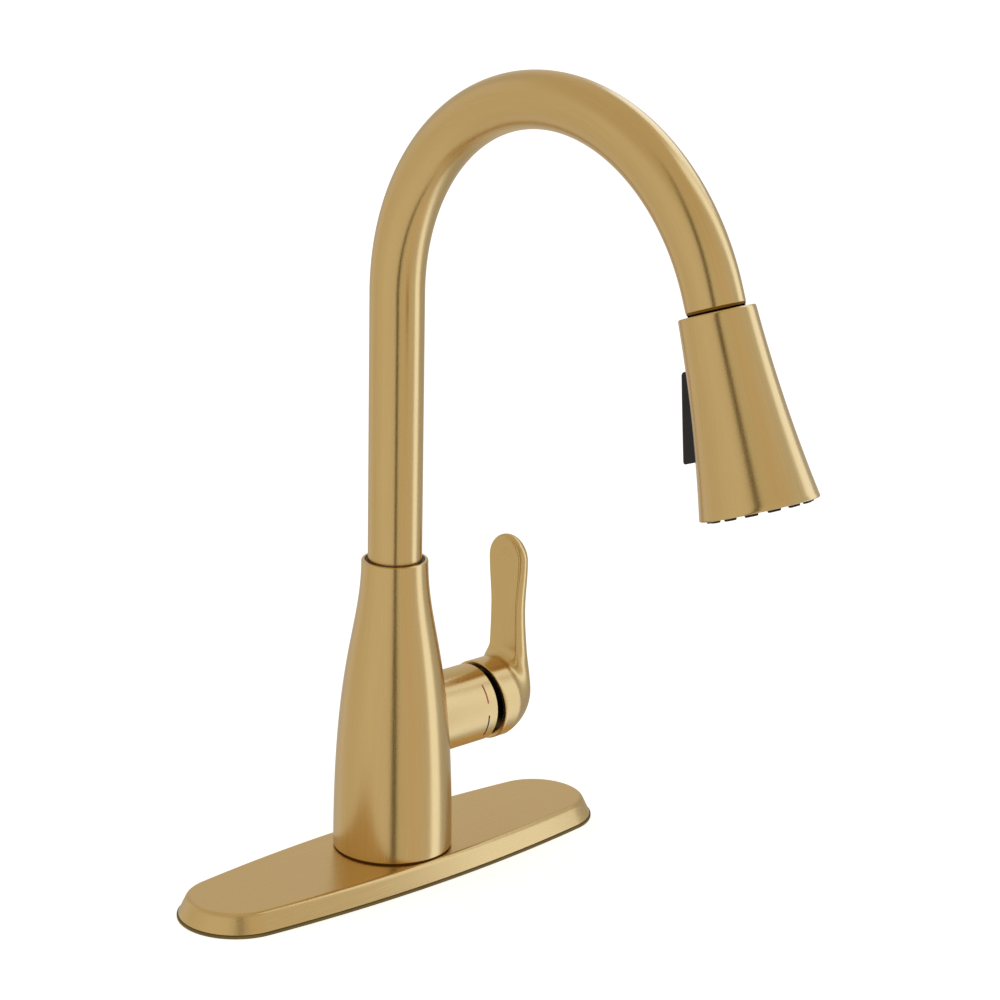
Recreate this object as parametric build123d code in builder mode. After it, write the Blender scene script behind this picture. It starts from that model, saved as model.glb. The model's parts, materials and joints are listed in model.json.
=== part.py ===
from build123d import *
from math import atan2, cos, radians, sin
import os

# Pull down kitchen faucet, millimetres. The origin is on the body's axis at the deck, under the gasket.
# +Z is up, -Y is forward along the spout's reach and +X is the handle's side.

# Deck plate and gasket
plate_length = 254.0
plate_width = 70.8
plate_end_radius = 29.0
gasket_height = 1.5
gasket_band = 6.0
gasket_gap = 0.4
plate_height = 9.1
plate_edge_inset = 0.5
plate_top_inset = 4.8
plate_wall = 1.6
plate_top_round = 3.0
plate_boss_radius = 30.0

# Body
body_gap = 0.8
body_height = 147.2
body_base_radius = 29.4
body_neck_radius = 16.27
body_base_pull = 100.0
body_neck_pull = 37.0
body_wall = 2.6
body_lip_round = 0.7
base_ring_height = 12.0
base_bore_radius = 25.2
neck_bore_radius = 14.7
neck_bore_length = 28.6
seal_inner_radius = 26.2
seal_width = 1.8
seal_depth = 1.2

# Shank and mounting nut
shank_pilot_radius = 16.75
shank_pilot_length = 3.5
shank_thread_radius = 16.5
shank_length = 58.0
shank_bore_radius = 14.5
shank_collar_radius = 17.6
shank_end_chamfer = 0.8
plate_hole_gap = 0.4
deck_thickness = 19.0
washer_radius = 29.0
washer_thickness = 3.0
nut_flats = 46.0
nut_height = 10.0
nut_gap = 0.15

# Spout
tube_radius = 13.2
tube_wall = 1.2
tube_depth = 33.6
arc_height = 290.4
arc_radius = 104.3
arc_angle = 160.1
tube_straight = 6.5
swivel_gap = 0.08
bushing_length = 8.0
bushing_recess = 0.5
clip_thickness = 1.6
clip_groove = 0.5
clip_reach = 2.4
clip_gap = 0.3

# Hose and dock
hose_radius = 6.25
hose_offset = 8.0
hose_bend_radius = 66.0
hose_bend_bottom = 70.0
hose_bend_top = 110.0
hose_top = 126.0
hose_end_inset = 2.0
dock_flange_radius = 12.9
dock_flange_thickness = 0.9
dock_bore_radius = 8.1
dock_gap = 0.05
dock_ring_thickness = 0.85
dock_ring_inner = 9.8
dock_ring_outer = 12.6
magnet_inner_radius = 9.3
magnet_outer_radius = 11.2
magnet_length = 3.0

# Spray head
head_length = 86.2
head_top_radius = 17.0
head_mid_radius = 19.06
head_rim_radius = 26.47
head_wall = 1.8
head_top_wall = 2.4
head_top_round = 1.0
head_rim_round = 0.7
core_radius = 9.6
core_shoulder_radius = 13.0
core_shoulder_height = 2.6
inlet_radius = 7.8
inlet_depth = 14.6
hose_nut_gap = 0.1
hose_nut_rise = 4.0
hose_nut_length = 17.0
hose_nut_bore = 3.2
inlet_washer_thickness = 1.5
waterway_radius = 4.05
check_valve_length = 9.0
core_flange_place = 66.0
core_flange_height = 3.0
core_flange_gap = 0.4
face_seal_radius = 19.2
face_seal_width = 1.6
face_seal_depth = 1.0
face_wall_radius = 20.5
face_wall = 2.5
face_recess = 4.0
face_thickness = 3.0
face_gap = 0.2
aerator_radius = 8.0
aerator_length = 10.0
aerator_hole_radius = 0.8
aerator_ring_count = 2
aerator_ring_step = 2.9
aerator_ring_holes = 6
nozzle_count = 24
nozzle_circle = 13.6
nozzle_radius = 1.1
nozzle_rise = 0.8
nozzle_band = 2.6
jet_count = 14
jet_start = 17.5
jet_circle = 21.95
jet_length = 6.0
jet_width = 2.8
jet_rise = 1.5
pad_thickness = 1.5

# Spray button and diverter
button_start = 22.0
button_length = 39.0
button_width = 21.0
button_top_radius = 21.3
button_bottom_radius = 31.4
button_inner_radius = 15.8
button_skirt_radius = 13.4
button_wall = 1.2
button_round = 1.2
button_side_gap = 0.5
button_top_gap = 0.6
button_bottom_gap = 1.9
button_pivot_radius = 12.6
button_pin_radius = 1.2
pin_gap = 0.05
button_tab_width = 12.0
button_tab_height = 6.0
finger_width = 3.0
lug_thickness = 2.5
lug_gap = 0.4
spool_length = 17.0
spool_gap = 0.08
spool_neck_radius = 2.0
spool_groove = 3.6

# Valve
hub_height = 72.7
housing_radius = 17.6
housing_start = 4.0
housing_end = 49.0
cartridge_seat = 24.0
cartridge_radius = 14.2
cartridge_length = 22.0
cartridge_floor = 4.0
cartridge_bore_radius = 12.3
inlet_port_x = 2.2
inlet_port_y = 9.2
outlet_port_x = 9.4
port_radius = 4.5
port_depth = 12.0
port_boss_radius = 6.6
port_height = 38.0
passage_radius = 2.6
inlet_passage_drop = 4.6
outlet_passage_rise = 8.0
port_seal_thickness = 1.4
port_seal_width = 1.2
disc_thickness = 3.0
disc_gap = 0.05
moving_disc_radius = 9.4
disc_socket_depth = 2.0
disc_socket_gap = 0.4
disc_pocket_radius = 5.5
disc_pocket_depth = 1.0
carrier_gap = 0.1
carrier_length = 9.6
sleeve_radius = 19.65
sleeve_end = 52.26
sleeve_seam = 0.05
sleeve_round = 0.5
mark_inset = 6.4
mark_width = 1.0
mark_depth = 0.4
hot_mark_start = 44.0
hot_mark_sweep = 30.0
cold_mark_start = 91.0
cold_mark_sweep = 38.0
nut_lip_radius = 10.5
nut_flange_radius = 16.4
nut_flange_height = 3.0

# Handle
stem_width = 6.0
stem_height = 8.0
stem_pivot_x = 39.0
stem_shoulder = 2.9
stem_pin_radius = 1.5
stem_ball_radius = 2.2
stem_slot_gap = 0.15
stem_slot_length = 14.0
stem_end = 66.0
rim_radius = 20.3
rim_top_x = 55.4
rim_tilt = 4.5
dome_shoulder_x = 62.0
dome_end_x = 83.9
dome_top_pull = 11.0
dome_end_pull = 13.0
handle_wall = 2.4
handle_cavity_end = 64.0
handle_boss_radius = 7.5
handle_boss_start = 57.0
blade_inner_x = 72.9
blade_mid_thickness = 8.3
blade_top_thickness = 7.2
blade_root_half_width = 12.5
blade_mid_half_width = 8.8
blade_top_half_width = 9.9
blade_root_rise = 7.3
blade_neck_rise = 49.3
blade_shoulder_rise = 71.8
blade_top_rise = 81.8
blade_crease_round = 0.6
blade_back_round = 2.4
blade_foot_round = 8.0
blade_foot_sink = 1.0
blade_tip_lean = (0.12, -1)
blade_root_lean = (-0.4, 1)
set_screw_x = 61.0
set_screw_radius = 2.5
set_screw_length = 5.0
plug_length = 2.5
plug_recess = 0.4

# Places that follow from the sizes above
plate_top_z = gasket_height + plate_height
body_z = plate_top_z + body_gap
body_top_z = body_z + body_height
base_ring_z = body_z + base_ring_height
neck_bore_z = body_top_z - neck_bore_length
tube_inner_radius = tube_radius - tube_wall
tube_bottom_z = body_top_z - tube_depth
bend = radians(arc_angle)
spray_dir = Vector(0, -sin(bend), cos(bend))
arc_end = Vector(0, arc_radius * (cos(bend) - 1), arc_height + arc_radius * sin(bend))
dock_length = tube_straight + dock_flange_thickness + dock_gap + dock_ring_thickness
head_top = arc_end + spray_dir * dock_length
head_axis = Axis(head_top, spray_dir)
hub_axis = Axis((0, 0, hub_height), (1, 0, 0))
button_pivot_s = button_start + button_length / 2
cartridge_end = cartridge_seat + cartridge_length
fixed_disc_x = cartridge_seat + cartridge_floor
moving_disc_x = fixed_disc_x + disc_thickness + disc_gap
carrier_x = moving_disc_x + disc_thickness + disc_gap
washer_z = -deck_thickness
inlet_passage_z = hub_height - inlet_passage_drop
outlet_passage_z = hub_height + outlet_passage_rise


def hub_plane(x):
    """Plane square to the hub's axis, with its own x along +Y and its own y up."""
    return Plane(origin=(x, 0, hub_height), x_dir=(0, 1, 0), z_dir=(1, 0, 0))


def spout_end_plane(s):
    """Plane square to the spout's outlet, s past the end of its arc, facing out of the spout."""
    return Plane(origin=arc_end + spray_dir * s, x_dir=(1, 0, 0), z_dir=spray_dir)


def head_plane(s):
    """Plane square to the spray head, s below its top. Its own -y points back at the body."""
    return Plane(origin=head_top + spray_dir * s, x_dir=(1, 0, 0), z_dir=spray_dir)


def head_section():
    """Plane through the spray head's axis, with radius along x and the distance from the top along y."""
    return Plane(origin=head_top, x_dir=(1, 0, 0), z_dir=Vector(1, 0, 0).cross(spray_dir))


def rod(plane, radius, length, mode=Mode.ADD):
    """Round rod from a plane along its normal, in the part that is being built."""
    with BuildSketch(plane) as section:
        Circle(radius)
    extrude(section.sketch, amount=length, mode=mode)


def ring(plane, outer, inner, length, mode=Mode.ADD):
    """Plain ring from a plane along its normal, in the part that is being built."""
    with BuildSketch(plane) as section:
        Circle(outer)
        Circle(inner, mode=Mode.SUBTRACT)
    extrude(section.sketch, amount=length, mode=mode)


def bar(plane, width, height, length, mode=Mode.ADD):
    """Bar with a rectangular section from a plane along its normal, in the part that is being built."""
    with BuildSketch(plane) as section:
        Rectangle(width, height)
    extrude(section.sketch, amount=length, mode=mode)


def plate_outline(inset):
    """Bowed oval of two long side arcs and two end arcs, all tangent, moved in by inset."""
    half_width = plate_width / 2 - inset
    end_radius = plate_end_radius - inset
    end_x = plate_length / 2 - plate_end_radius
    side_radius = (end_x**2 / (half_width - end_radius) + end_radius + half_width) / 2
    turn = atan2(end_x, side_radius - half_width)
    x = end_x + end_radius * sin(turn)
    y = end_radius * cos(turn)
    ThreePointArc((-x, y), (0, half_width), (x, y))
    ThreePointArc((x, y), (end_x + end_radius, 0), (x, -y))
    ThreePointArc((x, -y), (0, -half_width), (-x, -y))
    ThreePointArc((-x, -y), (-end_x - end_radius, 0), (-x, y))


def plate_face(z, inset):
    """Flat face of the plate's outline at a height."""
    with BuildSketch(Plane.XY.offset(z)) as face:
        with BuildLine():
            plate_outline(inset)
        make_face()
    return face.sketch


def body_solid(grow):
    """Solid of the body's S-curve turned round its axis, with its radius larger by grow."""
    base = body_base_radius + grow
    neck = body_neck_radius + grow
    with BuildPart() as solid:
        with BuildSketch(Plane.XZ):
            with BuildLine():
                Bezier(
                    (base, body_z),
                    (base, body_z + body_base_pull),
                    (neck, body_top_z - body_neck_pull),
                    (neck, body_top_z),
                )
                Polyline((neck, body_top_z), (0, body_top_z), (0, body_z), (base, body_z))
            make_face()
        revolve(axis=Axis.Z)
    return solid.part


def body_cavity():
    """Space inside the body between its threaded base and its bored neck."""
    with BuildPart() as cavity:
        add(body_solid(-body_wall))
        split(bisect_by=Plane.XY.offset(base_ring_z), keep=Keep.TOP)
        split(bisect_by=Plane.XY.offset(neck_bore_z), keep=Keep.BOTTOM)
    return cavity.part


def head_solid(grow):
    """Solid of the spray head's flare turned round its axis, with its radius larger by grow."""
    with BuildPart() as solid:
        with BuildSketch(head_section()):
            with BuildLine():
                Bezier(
                    (head_top_radius + grow, 0),
                    (head_mid_radius + grow, head_length / 2),
                    (head_rim_radius + grow, head_length),
                )
                Polyline(
                    (head_rim_radius + grow, head_length),
                    (0, head_length),
                    (0, 0),
                    (head_top_radius + grow, 0),
                )
            make_face()
        revolve(axis=head_axis)
    return solid.part


def head_cavity():
    """Space inside the spray head's shell, below its top wall."""
    with BuildPart() as cavity:
        add(head_solid(-head_wall))
        split(bisect_by=head_plane(head_top_wall), keep=Keep.TOP)
    return cavity.part


def head_radius(s):
    """Outer radius of the spray head at s below its top, on the same curve."""
    t = s / head_length
    return (1 - t) ** 2 * head_top_radius + 2 * t * (1 - t) * head_mid_radius + t**2 * head_rim_radius


def finish(name, builder):
    """Label a piece and write it to its own file."""
    builder.part.label = name
    export_step(builder.part, f"parts/{name}.step")


os.makedirs("parts", exist_ok=True)

# Deck gasket, a band under the plate's edge
with BuildPart() as deck_gasket:
    extrude(plate_face(0, 0), amount=gasket_height)
    extrude(plate_face(0, gasket_band), amount=gasket_height, mode=Mode.SUBTRACT)
finish("deck_gasket", deck_gasket)

# Deck plate, a hollow stamping with a boss under the body that stands on the deck
with BuildPart() as deck_plate:
    loft([plate_face(gasket_height, plate_edge_inset), plate_face(plate_top_z, plate_top_inset)], ruled=True)
    fillet(deck_plate.edges().group_by(Axis.Z)[-1], plate_top_round)
    loft(
        [
            plate_face(gasket_height, plate_edge_inset + plate_wall),
            plate_face(plate_top_z - plate_wall, plate_top_inset + plate_wall),
        ],
        ruled=True,
        mode=Mode.SUBTRACT,
    )
    with BuildSketch() as boss:
        Circle(plate_boss_radius)
        add(plate_face(0, gasket_band + gasket_gap), mode=Mode.INTERSECT)
    extrude(boss.sketch, amount=plate_top_z - plate_wall / 2)
    rod(Plane.XY, shank_collar_radius + plate_hole_gap, plate_top_z, Mode.SUBTRACT)
finish("deck_plate", deck_plate)

# Seal ring that shows as a dark line under the body
with BuildPart() as body_seal:
    ring(
        Plane.XY.offset(plate_top_z),
        seal_inner_radius + seal_width,
        seal_inner_radius,
        body_gap + seal_depth,
    )
finish("body_seal", body_seal)

# Body, a hollow bottle with a threaded base, a bored neck and a side hole for the valve
with BuildPart() as body_shell:
    add(body_solid(0))
    fillet(body_shell.edges().group_by(Axis.Z)[-1], body_lip_round)
    add(body_cavity(), mode=Mode.SUBTRACT)
    rod(Plane.XY.offset(neck_bore_z), neck_bore_radius, neck_bore_length, Mode.SUBTRACT)
    rod(Plane.XY.offset(body_z), base_bore_radius, base_ring_height, Mode.SUBTRACT)
    rod(hub_plane(housing_start), housing_radius, housing_end, Mode.SUBTRACT)
    ring(
        Plane.XY.offset(body_z),
        seal_inner_radius + seal_width,
        seal_inner_radius,
        seal_depth,
        Mode.SUBTRACT,
    )
finish("body_shell", body_shell)

# Hollow threaded shank, screwed into the base of the body, with a plain pilot at the deck's top
with BuildPart() as mounting_shank:
    rod(Plane.XY.offset(-shank_length), shank_thread_radius, shank_length)
    chamfer(mounting_shank.edges().group_by(Axis.Z)[0], shank_end_chamfer)
    rod(Plane.XY.offset(-shank_pilot_length), shank_pilot_radius, shank_pilot_length)
    rod(Plane.XY, shank_collar_radius, body_z)
    rod(Plane.XY.offset(body_z), base_bore_radius, base_ring_height)
    rod(Plane.XY.offset(-shank_length), shank_bore_radius, shank_length + base_ring_z, Mode.SUBTRACT)
finish("mounting_shank", mounting_shank)

# Washer and nut that clamp the deck from below
with BuildPart() as mounting_washer:
    ring(Plane.XY.offset(washer_z - washer_thickness), washer_radius, shank_pilot_radius + nut_gap, washer_thickness)
finish("mounting_washer", mounting_washer)

with BuildPart() as mounting_nut:
    with BuildSketch(Plane.XY.offset(washer_z - washer_thickness - nut_height)) as hexagon:
        RegularPolygon(nut_flats / 2, 6, major_radius=False)
        Circle(shank_pilot_radius + nut_gap, mode=Mode.SUBTRACT)
    extrude(hexagon.sketch, amount=nut_height)
finish("mounting_nut", mounting_nut)

# Brass valve housing, a cartridge chamber along +X with three ports that face down
with BuildPart() as valve_housing:
    rod(hub_plane(housing_start), housing_radius, housing_end - housing_start)
    port_places = [(inlet_port_x, inlet_port_y), (inlet_port_x, -inlet_port_y), (outlet_port_x, 0)]
    with BuildSketch(Plane.XY.offset(port_height)) as bosses:
        with Locations(*port_places):
            Circle(port_boss_radius)
    extrude(bosses.sketch, amount=hub_height - port_height)
    rod(hub_plane(cartridge_seat), cartridge_radius, housing_end - cartridge_seat, Mode.SUBTRACT)
    with BuildSketch(Plane.XY.offset(port_height)) as ports:
        with Locations(*port_places):
            Circle(port_radius)
    extrude(ports.sketch, amount=port_depth, mode=Mode.SUBTRACT)
    with BuildSketch(Plane.XY.offset(port_height)) as risers:
        with Locations(*port_places[:2]):
            Circle(passage_radius)
    extrude(risers.sketch, amount=inlet_passage_z - port_height, mode=Mode.SUBTRACT)
    with BuildSketch(Plane.XY.offset(port_height)) as outlet_riser:
        with Locations(port_places[2]):
            Circle(passage_radius)
    extrude(outlet_riser.sketch, amount=outlet_passage_z - port_height, mode=Mode.SUBTRACT)
    with BuildSketch(hub_plane(inlet_port_x)) as inlet_drill:
        with Locations((inlet_port_y, -inlet_passage_drop), (-inlet_port_y, -inlet_passage_drop)):
            Circle(passage_radius)
    extrude(inlet_drill.sketch, amount=cartridge_seat - inlet_port_x, mode=Mode.SUBTRACT)
    with BuildSketch(hub_plane(outlet_port_x)) as outlet_drill:
        with Locations((0, outlet_passage_rise)):
            Circle(passage_radius)
    extrude(outlet_drill.sketch, amount=cartridge_seat - outlet_port_x, mode=Mode.SUBTRACT)
finish("valve_housing", valve_housing)

# Sleeve that covers the housing, cut to the body's curve, with slots for the two marks
mark_x = sleeve_end - mark_inset


def mark_segment(start, sweep):
    """Dash on the sleeve's skin, from start degrees off the top, round by way of the front."""
    with BuildPart() as dash:
        with BuildSketch(Plane.XZ):
            with Locations((mark_x, hub_height + sleeve_radius - mark_depth / 2)):
                Rectangle(mark_width, mark_depth)
        revolve(axis=hub_axis, revolution_arc=sweep)
    return dash.part.rotate(hub_axis, start)


with BuildPart() as valve_sleeve:
    ring(hub_plane(housing_start), sleeve_radius, housing_radius, sleeve_end - housing_start)
    fillet(valve_sleeve.faces().sort_by(Axis.X)[-1].edges(), sleeve_round)
    add(body_solid(sleeve_seam), mode=Mode.SUBTRACT)
    add(mark_segment(hot_mark_start, hot_mark_sweep), mode=Mode.SUBTRACT)
    add(mark_segment(cold_mark_start, cold_mark_sweep), mode=Mode.SUBTRACT)
finish("valve_sleeve", valve_sleeve)

with BuildPart() as hot_mark:
    add(mark_segment(hot_mark_start, hot_mark_sweep))
finish("hot_mark", hot_mark)

with BuildPart() as cold_mark:
    add(mark_segment(cold_mark_start, cold_mark_sweep))
finish("cold_mark", cold_mark)

# Cartridge, a cup with three ports in its floor, their seals, and the fixed ceramic disc
port_spots = [
    (inlet_port_y, -inlet_passage_drop),
    (-inlet_port_y, -inlet_passage_drop),
    (0, outlet_passage_rise),
]


def port_holes(x, radius, length):
    """Three round holes in line with the housing's passages, cut from the part that is being built."""
    with BuildSketch(hub_plane(x)) as holes:
        with Locations(*port_spots):
            Circle(radius)
    extrude(holes.sketch, amount=length, mode=Mode.SUBTRACT)


with BuildPart() as cartridge_body:
    rod(hub_plane(cartridge_seat), cartridge_radius, cartridge_length)
    rod(hub_plane(fixed_disc_x), cartridge_bore_radius, cartridge_length, Mode.SUBTRACT)
    port_holes(cartridge_seat, passage_radius, cartridge_floor)
    port_holes(cartridge_seat, passage_radius + port_seal_width, port_seal_thickness)
finish("cartridge_body", cartridge_body)

with BuildPart() as cartridge_seals:
    with BuildSketch(hub_plane(cartridge_seat)) as seal_rings:
        with Locations(*port_spots):
            Circle(passage_radius + port_seal_width)
            Circle(passage_radius, mode=Mode.SUBTRACT)
    extrude(seal_rings.sketch, amount=port_seal_thickness)
finish("cartridge_seals", cartridge_seals)

with BuildPart() as fixed_disc:
    rod(hub_plane(fixed_disc_x), cartridge_bore_radius, disc_thickness)
    port_holes(fixed_disc_x, passage_radius, disc_thickness)
finish("fixed_disc", fixed_disc)

# Moving disc, with a mixing pocket on one face and a socket for the stem on the other
with BuildPart() as moving_disc:
    rod(hub_plane(moving_disc_x), moving_disc_radius, disc_thickness)
    rod(hub_plane(moving_disc_x), disc_pocket_radius, disc_pocket_depth - disc_gap, Mode.SUBTRACT)
    bar(
        hub_plane(moving_disc_x + disc_thickness - disc_socket_depth),
        2 * (stem_ball_radius + disc_socket_gap),
        2 * (stem_ball_radius + disc_socket_gap),
        disc_socket_depth,
        Mode.SUBTRACT,
    )
finish("moving_disc", moving_disc)

# Carrier that turns in the cartridge and holds the stem on a pin
pin_half = cartridge_bore_radius - carrier_gap - lug_gap
with BuildPart() as cartridge_carrier:
    rod(hub_plane(carrier_x), cartridge_bore_radius - carrier_gap, carrier_length)
    bar(
        hub_plane(carrier_x),
        stem_width + 2 * stem_slot_gap,
        stem_slot_length,
        carrier_length,
        Mode.SUBTRACT,
    )
    pin_plane = Plane(origin=(stem_pivot_x, -pin_half, hub_height), z_dir=(0, 1, 0))
    rod(pin_plane, stem_pin_radius, 2 * pin_half, Mode.SUBTRACT)
finish("cartridge_carrier", cartridge_carrier)

with BuildPart() as stem_pin:
    rod(pin_plane, stem_pin_radius, 2 * pin_half)
finish("stem_pin", stem_pin)

# Nut that holds the cartridge down
with BuildPart() as cartridge_nut:
    ring(hub_plane(cartridge_end), cartridge_radius, nut_lip_radius, housing_end - cartridge_end)
    with BuildSketch(hub_plane(housing_end)) as nut_flange:
        RegularPolygon(nut_flange_radius, 12)
        Circle(nut_lip_radius, mode=Mode.SUBTRACT)
    extrude(nut_flange.sketch, amount=nut_flange_height)
finish("cartridge_nut", cartridge_nut)

# Lever stem, from the ball in the moving disc to the end inside the handle
stem_ball_x = moving_disc_x + disc_thickness - disc_socket_depth / 2
stem_bar_x = stem_pivot_x - stem_shoulder
with BuildPart() as lever_stem:
    bar(hub_plane(stem_bar_x), stem_width, stem_height, stem_end - stem_bar_x)
    rod(hub_plane(stem_ball_x), stem_ball_radius, stem_pivot_x - stem_ball_x)
    rod(
        Plane(origin=(stem_pivot_x, -stem_width, hub_height), z_dir=(0, 1, 0)),
        stem_pin_radius + pin_gap,
        2 * stem_width,
        Mode.SUBTRACT,
    )
finish("lever_stem", lever_stem)

# Handle, a hollow dome with a flat blade that stands on its outer end
rim_plane = Plane(
    origin=(rim_top_x, 0, hub_height + rim_radius),
    z_dir=(cos(radians(rim_tilt)), 0, sin(radians(rim_tilt))),
)
blade_mid_x = blade_inner_x + blade_mid_thickness
blade_tip_x = blade_inner_x + blade_top_thickness
blade_side_top = hub_height + blade_top_rise + blade_top_thickness
foot_x = blade_inner_x - blade_foot_round
foot_z = hub_height + rim_radius - blade_foot_sink
with BuildPart() as blade:
    with BuildSketch(Plane.XZ) as blade_side:
        with BuildLine():
            CenterArc((foot_x, foot_z + blade_foot_round), blade_foot_round, -90, 90)
            Polyline(
                (blade_inner_x, foot_z + blade_foot_round),
                (blade_inner_x, blade_side_top),
                (blade_tip_x, blade_side_top),
            )
            Spline(
                (blade_tip_x, blade_side_top),
                (blade_mid_x, hub_height + blade_neck_rise),
                (dome_end_x, hub_height),
                tangents=(blade_tip_lean, (0, -1)),
            )
            Polyline((dome_end_x, hub_height), (foot_x, hub_height), (foot_x, foot_z))
        make_face()
    extrude(blade_side.sketch, amount=2 * rim_radius, both=True)
    with BuildSketch(hub_plane(0)) as blade_front:
        with BuildLine() as blade_edge:
            Spline(
                (blade_root_half_width, blade_root_rise),
                (blade_mid_half_width, blade_neck_rise),
                (blade_top_half_width, blade_shoulder_rise),
                tangents=(blade_root_lean, (0, 1)),
            )
            EllipticalCenterArc(
                (0, blade_shoulder_rise),
                blade_top_half_width,
                blade_top_rise - blade_shoulder_rise,
                start_angle=0,
                arc_size=90,
            )
            Line((0, blade_top_rise), (0, 0))
            Line((0, 0), (blade_root_half_width, 0))
            Line((blade_root_half_width, 0), (blade_root_half_width, blade_root_rise))
        make_face()
        mirror(about=Plane.YZ)
    extrude(blade_front.sketch, amount=2 * dome_end_x, mode=Mode.INTERSECT)
    curved_edges = blade.edges().filter_by(GeomType.LINE, reverse=True)
    fillet(curved_edges.filter_by(lambda edge: edge.center().X > blade_inner_x + blade_back_round), blade_back_round)
    inner_face = blade.faces().filter_by(GeomType.PLANE).filter_by(Axis.X).sort_by(Axis.X)[-1]
    fillet(inner_face.edges().filter_by(GeomType.LINE, reverse=True), blade_crease_round)

with BuildPart() as handle_lever:
    with BuildSketch(Plane.XZ) as dome_half:
        with BuildLine():
            Bezier(
                (dome_shoulder_x, hub_height + rim_radius),
                (dome_shoulder_x + dome_top_pull, hub_height + rim_radius),
                (dome_end_x, hub_height + dome_end_pull),
                (dome_end_x, hub_height),
            )
            Polyline(
                (dome_end_x, hub_height),
                (rim_top_x, hub_height),
                (rim_top_x, hub_height + rim_radius),
                (dome_shoulder_x, hub_height + rim_radius),
            )
        make_face()
    revolve(axis=hub_axis)
    add(blade.part)
    ring(
        hub_plane(rim_top_x),
        rim_radius - handle_wall,
        handle_boss_radius,
        handle_cavity_end - rim_top_x,
        Mode.SUBTRACT,
    )
    rod(hub_plane(rim_top_x), handle_boss_radius, handle_boss_start - rim_top_x, Mode.SUBTRACT)
    bar(hub_plane(handle_boss_start), stem_width, stem_height, stem_end - handle_boss_start, Mode.SUBTRACT)
    split(bisect_by=rim_plane, keep=Keep.TOP)
    screw_plane = Plane(origin=(set_screw_x, stem_width / 2, hub_height), z_dir=(0, 1, 0))
    rod(screw_plane, set_screw_radius, 2 * rim_radius, Mode.SUBTRACT)
finish("handle_lever", handle_lever)

with BuildPart() as handle_set_screw:
    rod(screw_plane, set_screw_radius, set_screw_length)
finish("handle_set_screw", handle_set_screw)

with BuildPart() as handle_plug:
    plug_y = rim_radius - plug_recess - plug_length
    rod(Plane(origin=(set_screw_x, plug_y, hub_height), z_dir=(0, 1, 0)), set_screw_radius, plug_length)
finish("handle_plug", handle_plug)

# Spout, a bent tube whose foot turns in two bushings
lower_bushing_z = neck_bore_z
upper_bushing_z = body_top_z - bushing_recess - bushing_length
lower_clip_z = lower_bushing_z - clip_gap - clip_thickness
upper_clip_z = lower_bushing_z + bushing_length + clip_gap
arc_middle = bend / 2


def spout_route(start_z, straight):
    """Centreline of the spout from a height on its leg to a straight run past its arc."""
    Line((0, 0, start_z), (0, 0, arc_height))
    ThreePointArc(
        (0, 0, arc_height),
        (0, arc_radius * (cos(arc_middle) - 1), arc_height + arc_radius * sin(arc_middle)),
        arc_end,
    )
    if straight > 0:
        Line(arc_end, arc_end + spray_dir * straight)


with BuildPart() as spout_tube:
    with BuildLine() as tube_route:
        spout_route(tube_bottom_z, tube_straight)
    with BuildSketch(Plane.XY.offset(tube_bottom_z)) as tube_section:
        Circle(tube_radius)
        Circle(tube_inner_radius, mode=Mode.SUBTRACT)
    sweep(tube_section.sketch, path=tube_route.line)
    for clip_z in (lower_clip_z, upper_clip_z):
        ring(
            Plane.XY.offset(clip_z),
            tube_radius + clip_groove,
            tube_radius - clip_groove,
            clip_thickness,
            Mode.SUBTRACT,
        )
finish("spout_tube", spout_tube)

with BuildPart() as spout_clips:
    ring(
        Plane.XY.offset(lower_clip_z),
        tube_radius - clip_groove + clip_reach,
        tube_radius - clip_groove,
        clip_thickness,
    )
    ring(
        Plane.XY.offset(upper_clip_z),
        neck_bore_radius - clip_gap,
        tube_radius - clip_groove,
        clip_thickness,
    )
finish("spout_clips", spout_clips)

with BuildPart() as lower_bushing:
    ring(Plane.XY.offset(lower_bushing_z), neck_bore_radius, tube_radius + swivel_gap, bushing_length)
finish("lower_bushing", lower_bushing)

with BuildPart() as upper_bushing:
    ring(Plane.XY.offset(upper_bushing_z), neck_bore_radius, tube_radius + swivel_gap, bushing_length)
finish("upper_bushing", upper_bushing)

# Spray hose, through the shank and body, round the spout, and the short run that the head pulls out
with BuildPart() as hose_lower:
    with BuildLine() as lower_route:
        FilletPolyline(
            (-hose_offset, 0, hose_end_inset - shank_length),
            (-hose_offset, 0, hose_bend_bottom),
            (0, 0, hose_bend_top),
            (0, 0, hose_top),
            radius=hose_bend_radius,
        )
    with BuildSketch(Plane(origin=lower_route.line @ 0, z_dir=(0, 0, 1))) as lower_section:
        Circle(hose_radius)
    sweep(lower_section.sketch, path=lower_route.line)
finish("hose_lower", hose_lower)

with BuildPart() as spray_hose:
    with BuildLine() as hose_route:
        spout_route(hose_top, 0)
    with BuildSketch(Plane.XY.offset(hose_top)) as hose_section:
        Circle(hose_radius)
    sweep(hose_section.sketch, path=hose_route.line)
finish("spray_hose", spray_hose)

with BuildPart() as hose_run:
    rod(spout_end_plane(0), hose_radius, dock_length - hose_nut_rise)
finish("hose_run", hose_run)

# Dock at the spout's end, with its magnet
with BuildPart() as dock_collar:
    ring(spout_end_plane(0), tube_inner_radius, dock_bore_radius, tube_straight)
    ring(spout_end_plane(tube_straight), dock_flange_radius, dock_bore_radius, dock_flange_thickness)
    magnet_s = tube_straight + dock_flange_thickness - magnet_length
    ring(spout_end_plane(magnet_s), magnet_outer_radius, magnet_inner_radius, magnet_length, Mode.SUBTRACT)
finish("dock_collar", dock_collar)

with BuildPart() as dock_magnet:
    ring(spout_end_plane(magnet_s), magnet_outer_radius, magnet_inner_radius, magnet_length)
finish("dock_magnet", dock_magnet)

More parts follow.
